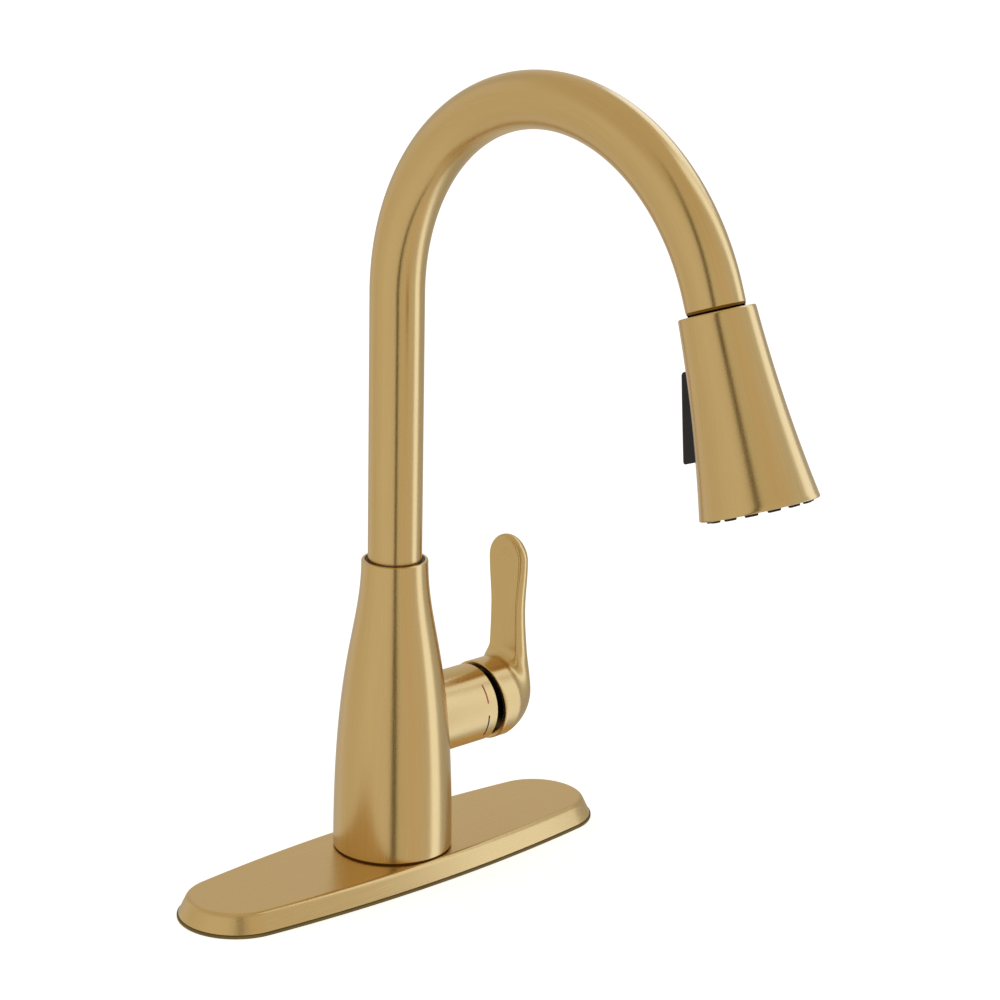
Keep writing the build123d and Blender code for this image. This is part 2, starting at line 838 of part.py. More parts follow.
# Nut and washer at the hose's end, on which the spray head turns
with BuildPart() as hose_nut:
    ring(head_plane(-hose_nut_rise), inlet_radius - hose_nut_gap, hose_nut_bore, hose_nut_length)
finish("hose_nut", hose_nut)

with BuildPart() as inlet_washer:
    ring(
        head_plane(hose_nut_length - hose_nut_rise),
        inlet_radius - hose_nut_gap,
        hose_nut_bore,
        inlet_washer_thickness,
    )
finish("inlet_washer", inlet_washer)

# Spray head shell, with a window at the back for the button
window_start = button_start - button_top_gap
window_length = button_length + button_top_gap + button_bottom_gap
back_x = Vector(1, 0, 0)
back_dir = back_x.cross(spray_dir)
window_middle = head_top + spray_dir * (window_start + window_length / 2)
window_plane = Plane(origin=window_middle, x_dir=back_x, z_dir=back_dir)
with BuildPart() as spray_shell:
    add(head_solid(0))
    rims = spray_shell.edges().filter_by(GeomType.CIRCLE).sort_by(head_axis)
    fillet(rims[0], head_top_round)
    fillet(rims[-1], head_rim_round)
    add(head_cavity(), mode=Mode.SUBTRACT)
    rod(head_plane(0), core_radius, head_top_wall, Mode.SUBTRACT)
    bar(
        window_plane,
        button_width + 2 * button_side_gap,
        window_length,
        2 * head_rim_radius,
        Mode.SUBTRACT,
    )
finish("spray_shell", spray_shell)

# Steel ring on the head's top that the magnet holds
with BuildPart() as dock_ring:
    ring(head_plane(-dock_ring_thickness), dock_ring_outer, dock_ring_inner, dock_ring_thickness)
finish("dock_ring", dock_ring)

# Core that carries the water, the button's lugs and the face
core_flange_radius = head_radius(core_flange_place) - head_wall - core_flange_gap
lug_x = button_tab_width / 2 + lug_gap
button_pin_length = 2 * (lug_x + lug_thickness)
pivot_point = head_top + spray_dir * button_pivot_s + back_dir * button_pivot_radius
button_pin_plane = Plane(origin=pivot_point - back_x * (button_pin_length / 2), z_dir=back_x)
with BuildPart() as spray_core:
    rod(head_plane(0), core_radius, core_flange_place)
    ring(head_plane(head_top_wall), core_shoulder_radius, core_radius, core_shoulder_height)
    rod(head_plane(core_flange_place), core_flange_radius, core_flange_height)
    for side in (-1, 1):
        lug_middle = head_top + spray_dir * button_pivot_s + back_x * (side * (lug_x + lug_thickness / 2))
        bar(
            Plane(origin=lug_middle, x_dir=back_x, z_dir=back_dir),
            lug_thickness,
            button_tab_height,
            button_pivot_radius + 2 * button_pin_radius,
        )
    rod(head_plane(0), inlet_radius, inlet_depth, Mode.SUBTRACT)
    rod(head_plane(0), waterway_radius, head_length, Mode.SUBTRACT)
    rod(button_pin_plane, button_pin_radius, button_pin_length, Mode.SUBTRACT)
    bar(
        Plane(origin=head_top + spray_dir * button_pivot_s, x_dir=back_x, z_dir=back_dir),
        finger_width + 2 * lug_gap,
        spool_groove + 2 * button_pin_radius,
        core_radius,
        Mode.SUBTRACT,
    )
    ring(
        head_plane(core_flange_place + core_flange_height - face_seal_depth),
        face_seal_radius + face_seal_width / 2,
        face_seal_radius - face_seal_width / 2,
        face_seal_depth,
        Mode.SUBTRACT,
    )
finish("spray_core", spray_core)

with BuildPart() as face_seal:
    ring(
        head_plane(core_flange_place + core_flange_height - face_seal_depth),
        face_seal_radius + face_seal_width / 2,
        face_seal_radius - face_seal_width / 2,
        face_seal_depth,
    )
finish("face_seal", face_seal)

with BuildPart() as check_valve:
    ring(head_plane(inlet_depth), waterway_radius, waterway_radius / 2, check_valve_length)
finish("check_valve", check_valve)

with BuildPart() as button_pin:
    rod(button_pin_plane, button_pin_radius, button_pin_length)
finish("button_pin", button_pin)

# Rocker button, a cap that follows the head's back, with a tab on the pin and a finger into the diverter
axis_plane = Plane(origin=head_top + spray_dir * button_pivot_s, x_dir=back_x, z_dir=back_dir)
tab_start = button_pivot_radius - 2 * button_pin_radius
with BuildPart() as spray_button:
    with BuildSketch(head_section()) as pad_section:
        with BuildLine():
            Polyline(
                (0, button_start),
                (button_top_radius, button_start),
                (button_bottom_radius, button_start + button_length),
                (0, button_start + button_length),
                close=True,
            )
        make_face()
    revolve(pad_section.sketch, axis=head_axis)
    bar(
        axis_plane.offset(button_skirt_radius),
        button_width,
        2 * button_length,
        2 * head_rim_radius,
        Mode.INTERSECT,
    )
    fillet(spray_button.faces().filter_by(GeomType.CONE)[0].edges(), button_round)
    bar(
        axis_plane,
        button_width - 2 * button_wall,
        button_length - 2 * button_wall,
        button_inner_radius,
        Mode.SUBTRACT,
    )
    bar(axis_plane.offset(tab_start), button_tab_width, button_tab_height, button_inner_radius - tab_start)
    rod(button_pin_plane, button_pin_radius + pin_gap, button_pin_length, Mode.SUBTRACT)
    finger_start = spool_neck_radius + lug_gap
    bar(
        axis_plane.offset(finger_start),
        finger_width,
        spool_groove - 2 * lug_gap,
        tab_start - finger_start,
    )
finish("spray_button", spray_button)

# Diverter spool, which the finger slides along the head's axis
with BuildPart() as diverter_spool:
    spool_radius = waterway_radius - spool_gap
    rod(head_plane(button_pivot_s - spool_length / 2), spool_radius, spool_length)
    ring(
        head_plane(button_pivot_s - spool_groove / 2),
        waterway_radius,
        spool_neck_radius,
        spool_groove,
        Mode.SUBTRACT,
    )
finish("diverter_spool", diverter_spool)

# Spray face, with a wall up to the core, a middle hole for the aerator and holes for the rubber jets
face_place = head_length - face_recess
face_radius = head_radius(face_place) - head_wall - face_gap
face_wall_start = core_flange_place + core_flange_height
pad_place = face_place - pad_thickness
with BuildPart() as spray_face:
    rod(head_plane(face_place), face_radius, face_thickness)
    ring(
        head_plane(face_wall_start),
        face_wall_radius,
        face_wall_radius - face_wall,
        face_place - face_wall_start,
    )
    with BuildSketch(head_plane(face_place)) as face_holes:
        Circle(aerator_radius)
        with PolarLocations(nozzle_circle, nozzle_count):
            Circle(nozzle_radius)
        with PolarLocations(jet_circle, jet_count, start_angle=jet_start):
            SlotOverall(jet_length, jet_width, rotation=90)
    extrude(face_holes.sketch, amount=face_thickness, mode=Mode.SUBTRACT)
finish("spray_face", spray_face)

with BuildPart() as rim_jets:
    ring(head_plane(pad_place), jet_circle + jet_width / 2, face_wall_radius, pad_thickness)
    with BuildSketch(head_plane(face_place)) as jet_tips:
        with PolarLocations(jet_circle, jet_count, start_angle=jet_start):
            SlotOverall(jet_length, jet_width, rotation=90)
    extrude(jet_tips.sketch, amount=head_length + jet_rise - face_place)
finish("rim_jets", rim_jets)

with BuildPart() as spray_nozzles:
    ring(head_plane(pad_place), nozzle_circle + nozzle_band, nozzle_circle - nozzle_band, pad_thickness)
    with BuildSketch(head_plane(face_place)) as nozzle_tips:
        with PolarLocations(nozzle_circle, nozzle_count):
            Circle(nozzle_radius)
    extrude(nozzle_tips.sketch, amount=face_thickness + nozzle_rise)
finish("spray_nozzles", spray_nozzles)

with BuildPart() as aerator:
    rod(head_plane(face_place + face_thickness - aerator_length), aerator_radius, aerator_length)
    with BuildSketch(head_plane(face_place + face_thickness - aerator_length)) as mesh_holes:
        Circle(aerator_hole_radius)
        for number in range(1, aerator_ring_count + 1):
            with PolarLocations(number * aerator_ring_step, number * aerator_ring_holes):
                Circle(aerator_hole_radius)
    extrude(mesh_holes.sketch, amount=aerator_length, mode=Mode.SUBTRACT)
finish("aerator", aerator)
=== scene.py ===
"""Pull down kitchen faucet in brushed gold: its surfaces, finishes and stage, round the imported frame."""

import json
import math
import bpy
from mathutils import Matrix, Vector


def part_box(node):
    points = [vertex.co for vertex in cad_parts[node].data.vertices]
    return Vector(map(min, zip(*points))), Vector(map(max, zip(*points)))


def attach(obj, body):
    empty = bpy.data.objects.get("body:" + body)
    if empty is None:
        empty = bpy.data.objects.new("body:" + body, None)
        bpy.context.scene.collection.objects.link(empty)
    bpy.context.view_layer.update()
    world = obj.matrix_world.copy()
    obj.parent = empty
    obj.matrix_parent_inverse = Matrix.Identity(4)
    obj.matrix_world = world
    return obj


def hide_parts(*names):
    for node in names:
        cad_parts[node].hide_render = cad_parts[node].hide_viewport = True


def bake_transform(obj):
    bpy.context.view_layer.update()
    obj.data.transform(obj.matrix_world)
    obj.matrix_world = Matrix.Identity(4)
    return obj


bl_info = {
    "name": "Pull Down Kitchen Faucet",
    "version": (1, 0, 0),
    "blender": (4, 5, 0),
    "location": "View3D > Sidebar > Faucet",
    "description": "Builds the surfaces, finishes and stage of a brushed gold pull down kitchen faucet",
    "category": "Object",
}

import bmesh
import bpy
import numpy as np
from bpy.props import FloatProperty, FloatVectorProperty, IntProperty, PointerProperty
from mathutils import Matrix

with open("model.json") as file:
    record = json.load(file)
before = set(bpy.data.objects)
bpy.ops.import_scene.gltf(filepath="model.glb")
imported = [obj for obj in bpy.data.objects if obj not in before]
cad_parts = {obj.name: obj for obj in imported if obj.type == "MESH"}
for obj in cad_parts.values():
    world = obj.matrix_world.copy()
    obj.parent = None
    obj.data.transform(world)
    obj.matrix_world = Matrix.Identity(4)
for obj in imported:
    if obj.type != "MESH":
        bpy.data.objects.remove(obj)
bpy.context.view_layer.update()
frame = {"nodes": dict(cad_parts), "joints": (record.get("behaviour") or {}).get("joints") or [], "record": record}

MERGE_DISTANCE = 1e-6
SHARP_ANGLE = math.radians(38)
FULL_TURN = 2 * math.pi
QUARTER = math.pi / 2
UP = np.array([0.0, 0.0, 1.0])
RIGHT = np.array([1.0, 0.0, 0.0])
FORWARD = np.array([0.0, -1.0, 0.0])

joints = {joint["name"]: joint for joint in frame["joints"]}
head_top = np.array(joints["spray_turn"]["pos_m"])
spray_dir = np.array(joints["spray_turn"]["axis"])
head_back = np.cross(RIGHT, spray_dir)
hub_point = np.array(joints["handle_turn"]["pos_m"])
hub_axis = hub_point * UP
hub_z = hub_point[2]
slot_of = {part["node"]: part["material_slot"] for part in frame["record"]["subparts"]}

# Nodes with a finish other than their slot's: the two rings between gold pieces, coloured a dark brown gold as
# painted shade of the seams between them, in place of their slot's finish
seam_shade_finish = {"body_seal": "seam_ring", "dock_collar": "seam_ring"}

# Shapes: lengths in metres, and shares or powers where no length is meant
EDGE_BAND = 0.0004  # strip beside an edge, which keeps the flat next to it shaded flat
BODY_BAND = 0.0002  # such a strip on the body
BODY_FLAT = 0.004  # shortest side with such strips, on the body
PLATE_FLAT = 0.003  # the same on the deck plate
SLEEVE_FLAT = 0.006  # the same on the sleeve
PLATE_FOOT = 0.2  # round of the plate's lower edge, in walls
SLEEVE_START = 0.034  # where the sleeve's straight part begins, clear of the body
TAIL_STEPS = 5  # rows of the spout's straight end
MARK_DEPTH = 1.6  # half the thickness of a mark, in rises
CREASE_TURN = math.radians(46.6)  # where the paddle's round side leaves its flat face
BACK_TURN = math.radians(10)  # where the paddle's round side meets its back
LEAST_TURN = 0.01  # least step from the crease to the round side
FLAT_DEPTH = 1e-9  # depth share up to which a point belongs to the flat face
BACK_PULL = 0.4  # how far the dome's end stays upright, as a share of the way to the foot
FOOT_PULL = 0.35  # how far the paddle's back stays upright below its foot
FOOT_LEAN = 0.0008  # how far that stretch leans out
WIDTH_EASE = 0.9  # power of the sine by which the dome narrows
FOOT_EASE = 1.5  # power by which the paddle thickens towards its foot
CORE_BEVEL = 0.0002  # bevel of the hole in the head's top
CORE_LAND = 0.0005  # flat ring beside that bevel
TOP_FLAT = 1.4  # where the head's flat top ends, in rounds from its edge
JET_ROOT = 0.0012  # how far a rim jet goes into the spray face
THREAD_GAP = 0.0005  # plain neck between the thread and the pilot
THREAD_STEPS = 8  # rows on one pitch
THREAD_FADE = 0.004  # length over which the thread runs out at its top
THREAD_LEAD = 0.001  # length over which it starts at its lower end
THREAD_START = 0.4  # share of the depth that it starts with
COLLAR_PLAY = 0.0004  # gap round the shank's collar in the plate
HEAD_PLAY = 0.0001  # gap round the shank's head in the body
NUT_BEVEL = 0.0008  # how far the nut's end faces are in from its flats
NUT_BEVEL_HEIGHT = 0.0022  # height that the nut's cones can reach
NUT_CONE = math.radians(30)
NUT_PLAY = 0.00015  # gap between the nut's bore and the pilot
NUT_MOUTH = 0.0006  # bevel of the nut's bore
HOSE_STOP = 0.004  # where the hose ends above the head's top
SLACK = 0.00001  # play when points are tested against the lever's hollow

# A rim jet's tip as (share of its half width, depth below its end in half widths)
JET_TIP = ((1.0, 0.5), (0.94, 0.22), (0.8, 0.06), (0.6, 0.0), (0.4, 0.0), (0.3, 0.12), (0.0, 0.3))

# The plug as (share of its radius, height over the lever's side)
PLUG_PROFILE = ((0.0, 0.00016), (0.6, 0.00015), (0.86, 0.0001), (1.0, -0.0001), (1.0, -0.002), (0.0, -0.002))

# Finishes: lines, specks and clouds are per metre, swings are of roughness, depths are in metres,
# and tones are shares of a colour
NOISE_RANGE = (0.3, 0.7)  # where most of a noise's values lie
BRUSH_LINES = 3000.0
BRUSH_CLOUDS = 26.0
BRUSH_SWING = 0.025
BRUSH_BUMP = 0.10
BRUSH_DEPTH = 0.00004
BRUSH_STRETCH = 0.6  # how far the gloss is drawn out
BRUSH_ROTATION = 0.25  # its direction, as a share of a turn
WIDE_LINES = (0.23, 0.4, 1.0)  # pace of the wide lines next to the thin ones
WIDE_SHARE = 0.42  # share of the wide lines in the grain
MACHINED_SPECKS = 900.0
MACHINED_SWING = 0.06
MACHINED_DARK = 0.86
MOULDED_SPECKS = 2200.0
MOULDED_CLOUDS = 60.0
MOULDED_SWING = 0.05
MOULDED_DEPTH = 0.00005
MOULDED_TONES = (0.82, 1.12)
BRAID_PACE = 3200.0  # turn of a strand's sine on one metre, in radians
BRAID_LOW = -0.6  # value of the weave at the bottom of its gaps
BRAID_TONES = (0.25, 1.5)
BRAID_BUMP = 0.7
BRAID_DEPTH = 0.0003
BRAID_ROUGHNESS = 0.5

# Studio light by compass direction from behind the camera, in degrees, clockwise positive: (turn, colour)
STUDIO_RING = (
    (-180, (0.68, 0.65, 0.60)),
    (-150, (0.55, 0.53, 0.49)),
    (-128, (0.70, 0.69, 0.68)),
    (-100, (0.66, 0.63, 0.56)),
    (-50, (0.75, 0.73, 0.69)),
    (-8, (0.73, 0.71, 0.68)),
    (15, (0.66, 0.65, 0.58)),
    (40, (0.70, 0.62, 0.53)),
    (75, (0.66, 0.66, 0.64)),
    (110, (0.58, 0.60, 0.66)),
    (130, (0.48, 0.48, 0.46)),
    (155, (0.46, 0.45, 0.42)),
    (180, (0.68, 0.65, 0.60)),
)
TOP_LIGHT = (0.62, 0.57, 0.46)
OVERHEAD = (0.45, 0.80)  # upward share of a direction where the ring starts to fade and is gone
FLOOR_ROUGHNESS = 0.9
SENSOR_WIDTH = 36.0

# Upright cards near the object, which only the metal sees:
# (name, turn in degrees as in the ring, distance, half width, bottom, top, colour)
STUDIO_CARDS = (
    ("dark_card", 4.0, 0.72, 0.061, -1.8, 1.6, (0.05, 0.03, 0.0)),
    ("bright_card", 92.5, 0.5, 0.105, -1.5, 1.0, (1.25, 1.42, 1.80)),
    ("high_card", 135.0, 0.5, 0.22, 0.5, 0.85, (1.25, 1.42, 1.80)),
)


def low(node, axis):
    """Lowest place of a node of the frame along an axis."""
    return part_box(node)[0][axis]


def high(node, axis):
    """Highest place of a node of the frame along an axis."""
    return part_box(node)[1][axis]


def span(node, axis):
    """Extent of a node of the frame along an axis."""
    return high(node, axis) - low(node, axis)


# Properties

def length(name, description, default):
    """Length property in metres."""
    return FloatProperty(
        name=name, description=description, default=default, unit="LENGTH", subtype="DISTANCE", precision=5
    )


def factor(name, description, default):
    """Property from 0 to 1."""
    return FloatProperty(
        name=name, description=description, default=default, min=0.0, max=1.0, subtype="FACTOR"
    )


def angle(name, description, degrees):
    """Angle property, given in degrees."""
    return FloatProperty(name=name, description=description, default=math.radians(degrees), subtype="ANGLE")


def colour(name, description, default):
    """Linear colour property."""
    return FloatVectorProperty(
        name=name, description=description, default=default, size=3, min=0.0, soft_max=1.0, subtype="COLOR"
    )


class FaucetBaseSizes(bpy.types.PropertyGroup):
    """Sizes of the deck plate, the body and what is below the deck."""

    plate_length: length("Plate length", "Length of the deck plate's outline", span("deck_gasket", 0))
    plate_width: length("Plate width", "Width of the deck plate's outline", span("deck_gasket", 1))
    plate_end: length("Plate end radius", "Radius of the plate's round ends", 0.029)
    plate_foot_inset: length("Foot inset", "How far the plate's lower edge is in from the gasket", 0.0005)
    plate_top_inset: length("Top inset", "How far the plate's flat top is in from the gasket", 0.0048)
    plate_round: length("Plate round", "Radius between the plate's sloped side and its top", 0.0030)
    plate_wall: length("Plate wall", "Thickness of the plate", 0.0016)
    plate_boss: length("Plate boss", "Radius of the boss under the body", 0.0288)
    plate_hole: length("Plate hole", "Radius of the hole for the shank", 0.018)
    gasket_band: length("Gasket band", "Width of the gasket under the plate's edge", 0.006)
    gasket_round: length("Gasket round", "Radius of the gasket's outer edges", 0.0004)
    body_base: length("Body base radius", "Radius of the body at the deck", span("body_shell", 0) / 2)
    body_neck: length("Body neck radius", "Radius of the body at its top", 0.01627)
    base_pull: length("Base pull", "How far the body stays straight above its base", 0.100)
    neck_pull: length("Neck pull", "How far the body stays straight below its top", 0.037)
    body_wall: length("Body wall", "Thickness of the body", 0.0026)
    body_lip: length("Lip round", "Radius of the body's upper lip", 0.0008)
    base_round: length("Base round", "Radius of the body's lower edge", 0.0004)
    neck_bore: length("Neck bore", "Radius of the bore that the spout turns in", 0.0147)
    neck_bore_length: length("Neck bore length", "Depth of that bore", 0.0286)
    base_bore: length("Base bore", "Radius of the bore for the shank's head", 0.0252)
    base_ring: length("Base ring", "Height of that bore", 0.012)
    pilot_radius: length("Pilot radius", "Radius of the shank's plain part at the deck", 0.01675)
    pilot_length: length("Pilot length", "Length of that plain part", 0.0035)
    thread_radius: length("Thread radius", "Radius over the shank's thread", 0.0165)
    shank_bore: length("Shank bore", "Radius of the hole through the shank", 0.0145)
    thread_pitch: length("Thread pitch", "Distance between the shank's threads", 0.002)
    thread_depth: length("Thread depth", "Depth of the shank's thread", 0.0011)
    nut_flats: length("Nut flats", "Width of the mounting nut across its flats", span("mounting_nut", 1))


class FaucetSpoutSizes(bpy.types.PropertyGroup):
    """Sizes of the spout and the hose."""

    tube_radius: length("Tube radius", "Outer radius of the spout", span("spout_tube", 0) / 2)
    tube_wall: length("Tube wall", "Thickness of the spout's tube", 0.0012)
    tube_round: length("Tube round", "Radius of the edge at the spout's outlet", 0.0004)
    arc_radius: length("Arc radius", "Radius of the spout's bend at its middle", 0.1043)
    dock_gap: length("Dock gap", "Seam between the spout's end and the spray head", 0.0018)
    hose_radius: length("Hose radius", "Radius of the spray hose", 0.00625)


class FaucetHeadSizes(bpy.types.PropertyGroup):
    """Sizes of the spray head and its button."""

    head_length: length("Head length", "Length of the spray head along its axis", 0.0862)
    top_radius: length("Top radius", "Radius of the head at its top", 0.0170)
    mid_radius: length("Middle pull", "Radius that draws the head's flare", 0.01906)
    rim_radius: length("Rim radius", "Radius of the head at its rim", 0.02647)
    head_wall: length("Head wall", "Thickness of the head's shell", 0.0018)
    top_wall: length("Top wall", "Thickness of the head's top", 0.0024)
    top_round: length("Top round", "Radius of the head's upper edge", 0.0010)
    rim_round: length("Rim round", "Radius of the head's lower edge", 0.0008)
    core_hole: length("Core hole", "Radius of the hole in the head's top", 0.0096)
    window_start: length("Window start", "Distance of the button's window from the head's top", 0.0214)
    window_end: length("Window end", "End of the button's window", 0.0629)
    window_half: length("Window half width", "Half the width of the button's window", 0.0110)
    button_start: length("Button start", "Distance of the button from the head's top", 0.0220)
    button_end: length("Button end", "Lower end of the button", 0.0610)
    button_half: length("Button half width", "Half the button's width", 0.0105)
    button_top: length("Button top radius", "Distance of the button's upper end from the head's axis", 0.0213)
    button_bottom: length("Button bottom radius", "Distance of its lower end from the head's axis", 0.0314)
    button_skirt: length("Button skirt", "Distance of the button's lower side from the head's axis", 0.0134)
    button_round: length("Button round", "Radius of the button's edges", 0.0014)
    jet_count: IntProperty(name="Jet count", description="Number of rim jets", default=14, min=3)
    jet_start: angle("Jet start", "Turn of the first rim jet from the handle's side", 17.5)
    jet_circle: length("Jet circle", "Radius of the circle of rim jets", 0.02195)
    jet_length: length("Jet length", "Length of a rim jet round that circle", 0.0060)
    jet_width: length("Jet width", "Width of a rim jet across that circle", 0.0028)
    jet_rise: length("Jet rise", "How far a rim jet stands out below the rim", 0.0011)
    face_place: length("Face place", "Distance of the spray face from the head's top", 0.0822)


class FaucetValveSizes(bpy.types.PropertyGroup):
    """Sizes of the valve's sleeve and the lever."""

    sleeve_radius: length("Sleeve radius", "Outer radius of the sleeve", span("valve_sleeve", 1) / 2)
    sleeve_bore: length("Sleeve bore", "Inner radius of the sleeve", 0.0176)
    sleeve_end: length("Sleeve end", "Outer end of the sleeve", high("valve_sleeve", 0))
    sleeve_round: length("Sleeve round", "Radius of the sleeve's outer edge", 0.0005)
    bonnet_bore: length("Bonnet bore", "Inner radius of the dark collar on the cartridge nut", 0.0135)
    bonnet_radius: length("Bonnet radius", "Outer radius of that collar", 0.0152)
    bonnet_end: length("Bonnet end", "Outer end of that collar", 0.0570)
    bonnet_round: length("Bonnet round", "Radius of that collar's outer edge", 0.0012)
    mark_inset: length("Mark inset", "Distance of the two marks from the sleeve's end", 0.00605)
    mark_half: length("Mark half width", "Half the width of a mark", 0.0005)
    mark_rise: length("Mark rise", "How far a mark stands out", 0.00008)
    hot_start: angle("Hot start", "Start of the hot mark from the top, towards the front", 44)
    hot_sweep: angle("Hot sweep", "Angle that the hot mark covers", 30)
    cold_start: angle("Cold start", "Start of the cold mark from the top, towards the front", 91)
    cold_sweep: angle("Cold sweep", "Angle that the cold mark covers", 38)
    rim_radius: length("Rim radius", "Radius of the lever's round rim", span("handle_lever", 1) / 2)
    rim_top: length("Rim top", "Place of the rim's upper edge", low("handle_lever", 0))
    rim_tilt: angle("Rim tilt", "How far the rim leans out at its foot", 4.5)
    rim_wall: length("Rim wall", "Thickness of the lever's rim", 0.0024)
    rim_round: length("Rim edge", "Radius of the rim's edges", 0.0005)
    cavity_end: length("Cavity end", "Depth of the hollow behind the rim", 0.0640)
    boss_radius: length("Boss radius", "Radius of the boss on the stem", 0.0075)
    boss_start: length("Boss start", "Place of the boss's face", 0.0570)
    stem_hole: length("Stem hole", "Radius of the hole in the boss", 0.0050)
    stem_end: length("Stem end", "Depth of that hole", 0.0662)
    dome_end: length("Dome end", "Outermost place of the lever", high("handle_lever", 0))
    dome_shoulder: length("Dome shoulder", "Where the dome starts to round off", 0.0620)
    dome_pull: length("Dome pull", "How far the dome stays wide past its shoulder", 0.0110)
    dome_drop: length("Dome drop", "How far the dome's end stays flat below the axis", 0.0130)
    paddle_face: length("Paddle face", "Place of the paddle's flat inner face", 0.0729)
    paddle_foot: length("Paddle foot", "Radius between the dome and the paddle", 0.0058)
    paddle_sink: length("Paddle sink", "How far the foot's arc lies below the rim's top", 0.0010)
    paddle_thick: length("Paddle thickness", "Thickness of the paddle at its narrow part", 0.0086)
    paddle_thick_foot: length("Foot thickness", "Thickness of the paddle at its foot", 0.0098)
    paddle_thick_top: length("Top thickness", "Thickness of the paddle at its round top", 0.0080)
    paddle_side: length("Paddle side round", "Radius of the paddle's rounded sides", 0.0050)
    paddle_crease: length("Paddle crease", "Softness of the edge of its flat face", 0.0005)
    foot_half: length("Foot half width", "Half the width of the flat face at its foot", 0.0090)
    neck_half: length("Neck half width", "Half the width of the flat face at its narrowest", 0.0084)
    top_half: length("Top half width", "Half the width of the flat face at its widest", 0.0100)
    neck_height: length("Neck height", "Height of the paddle's narrowest place", 0.1180)
    shoulder_height: length("Shoulder height", "Height of the paddle's widest place", 0.1437)
    top_height: length("Top height", "Height of the top of the paddle's flat face", 0.1536)
    plug_radius: length("Plug radius", "Radius of the plug over the set screw", 0.0025)


class FaucetFinishes(bpy.types.PropertyGroup):
    """Colours and roughness of the finishes."""

    gold_light: colour("Gold light", "Colour of the brushed gold's bright streaks", (0.722, 0.508, 0.220))
    gold_dark: colour("Gold dark", "Colour of the brushed gold's dark streaks", (0.672, 0.466, 0.194))
    # Painted shade: the dark colour that the gold takes inside the lever's hollow, where the rim shades it
    hollow_shade_colour: colour("Gold hollow", "Colour of the dull gold inside the lever", (0.07, 0.042, 0.016))
    gold_roughness: factor("Gold roughness", "Roughness of the brushed gold", 0.26)
    brass_colour: colour("Brass", "Colour of machined brass", (0.78, 0.58, 0.26))
    steel_colour: colour("Steel", "Colour of turned steel", (0.56, 0.56, 0.55))
    magnet_colour: colour("Magnet", "Colour of the dock's magnet", (0.08, 0.08, 0.085))
    black_colour: colour("Black plastic", "Colour of the button and the dark trim", (0.012, 0.012, 0.013))
    grey_colour: colour("Grey plastic", "Colour of the valve's and spray face's plastic", (0.10, 0.10, 0.105))
    rubber_colour: colour("Rubber", "Colour of the jets and seals", (0.010, 0.010, 0.011))
    # Painted shade: the brown of gold in shadow, given to the two rings in the seams between gold pieces
    seam_shade_colour: colour("Seam ring", "Colour of the dark rings between gold pieces", (0.18, 0.09, 0.008))
    gasket_colour: colour("Gasket", "Colour of the deck gasket", (0.165, 0.118, 0.040))
    ceramic_colour: colour("Ceramic", "Colour of the valve's discs", (0.85, 0.85, 0.82))
    hose_colour: colour("Hose", "Colour of the hose's braid", (0.14, 0.14, 0.145))
    hot_colour: colour("Hot mark", "Colour of the hot mark", (0.46, 0.085, 0.030))
    cold_colour: colour("Cold mark", "Colour of the cold mark", (0.006, 0.010, 0.018))


class FaucetStage(bpy.types.PropertyGroup):
    """Camera, floor and light."""

    camera_place: FloatVectorProperty(
        name="Camera place",
        description="Where the camera stands",
        default=(-0.9786, -1.1092, 0.6244),
        size=3,
        unit="LENGTH",
        subtype="TRANSLATION",
    )
    camera_turn: angle("Camera turn", "Direction of the camera from +Y towards +X", 43.37)
    camera_tilt: angle("Camera tilt", "How far the camera looks down", 16.411)
    camera_roll: angle("Camera roll", "How far the camera leans about its own axis", 1.071)
    camera_lens: FloatProperty(
        name="Lens", description="Focal length on a 36 mm sensor", default=115.33, unit="CAMERA"
    )
    floor_size: length("Floor size", "Half the side of the floor", 12.0)
    floor_glow: factor("Floor glow", "Light that the floor gives by itself", 0.62)
    floor_colour: colour("Floor colour", "Colour of the floor", (0.88, 0.88, 0.88))
    backdrop: colour("Backdrop", "Colour behind the object", (1.0, 1.0, 1.0))


PROPERTY_GROUPS = {
    "faucet_base": FaucetBaseSizes,
    "faucet_spout": FaucetSpoutSizes,
    "faucet_head": FaucetHeadSizes,
    "faucet_valve": FaucetValveSizes,
    "faucet_finishes": FaucetFinishes,
    "faucet_stage": FaucetStage,
}

# Curves and grids

def smooth(t):
    """Share that leaves 0 and reaches 1 level: t^2 (3 - 2 t)."""
    return t**2 * (3 - 2 * t)


def even_turns(count, moved=0.0):
    """Angles of a full turn in even steps, all moved on by a share of a step."""
    return (np.arange(count) + moved) * FULL_TURN / count


def on_circle(turn):
    """Points (cos, sin) of the unit circle."""
    return np.stack([np.cos(turn), np.sin(turn)], -1)


def lifted(flat, heights):
    """Rows of points in the XY plane, each row lifted to its height."""
    return np.concatenate([flat, np.broadcast_to(heights[:, None, None], (*flat.shape[:2], 1))], 2)


def bezier(control, count):
    """Points at even steps of t on a Bezier curve: control points times their Bernstein weights, summed."""
    control = np.asarray(control, float)
    order = len(control) - 1
    t = np.linspace(0, 1, count)[:, None]
    weights = [math.comb(order, k) * t**k * (1 - t) ** (order - k) for k in range(order + 1)]
    return sum(weight * point for weight, point in zip(weights, control))


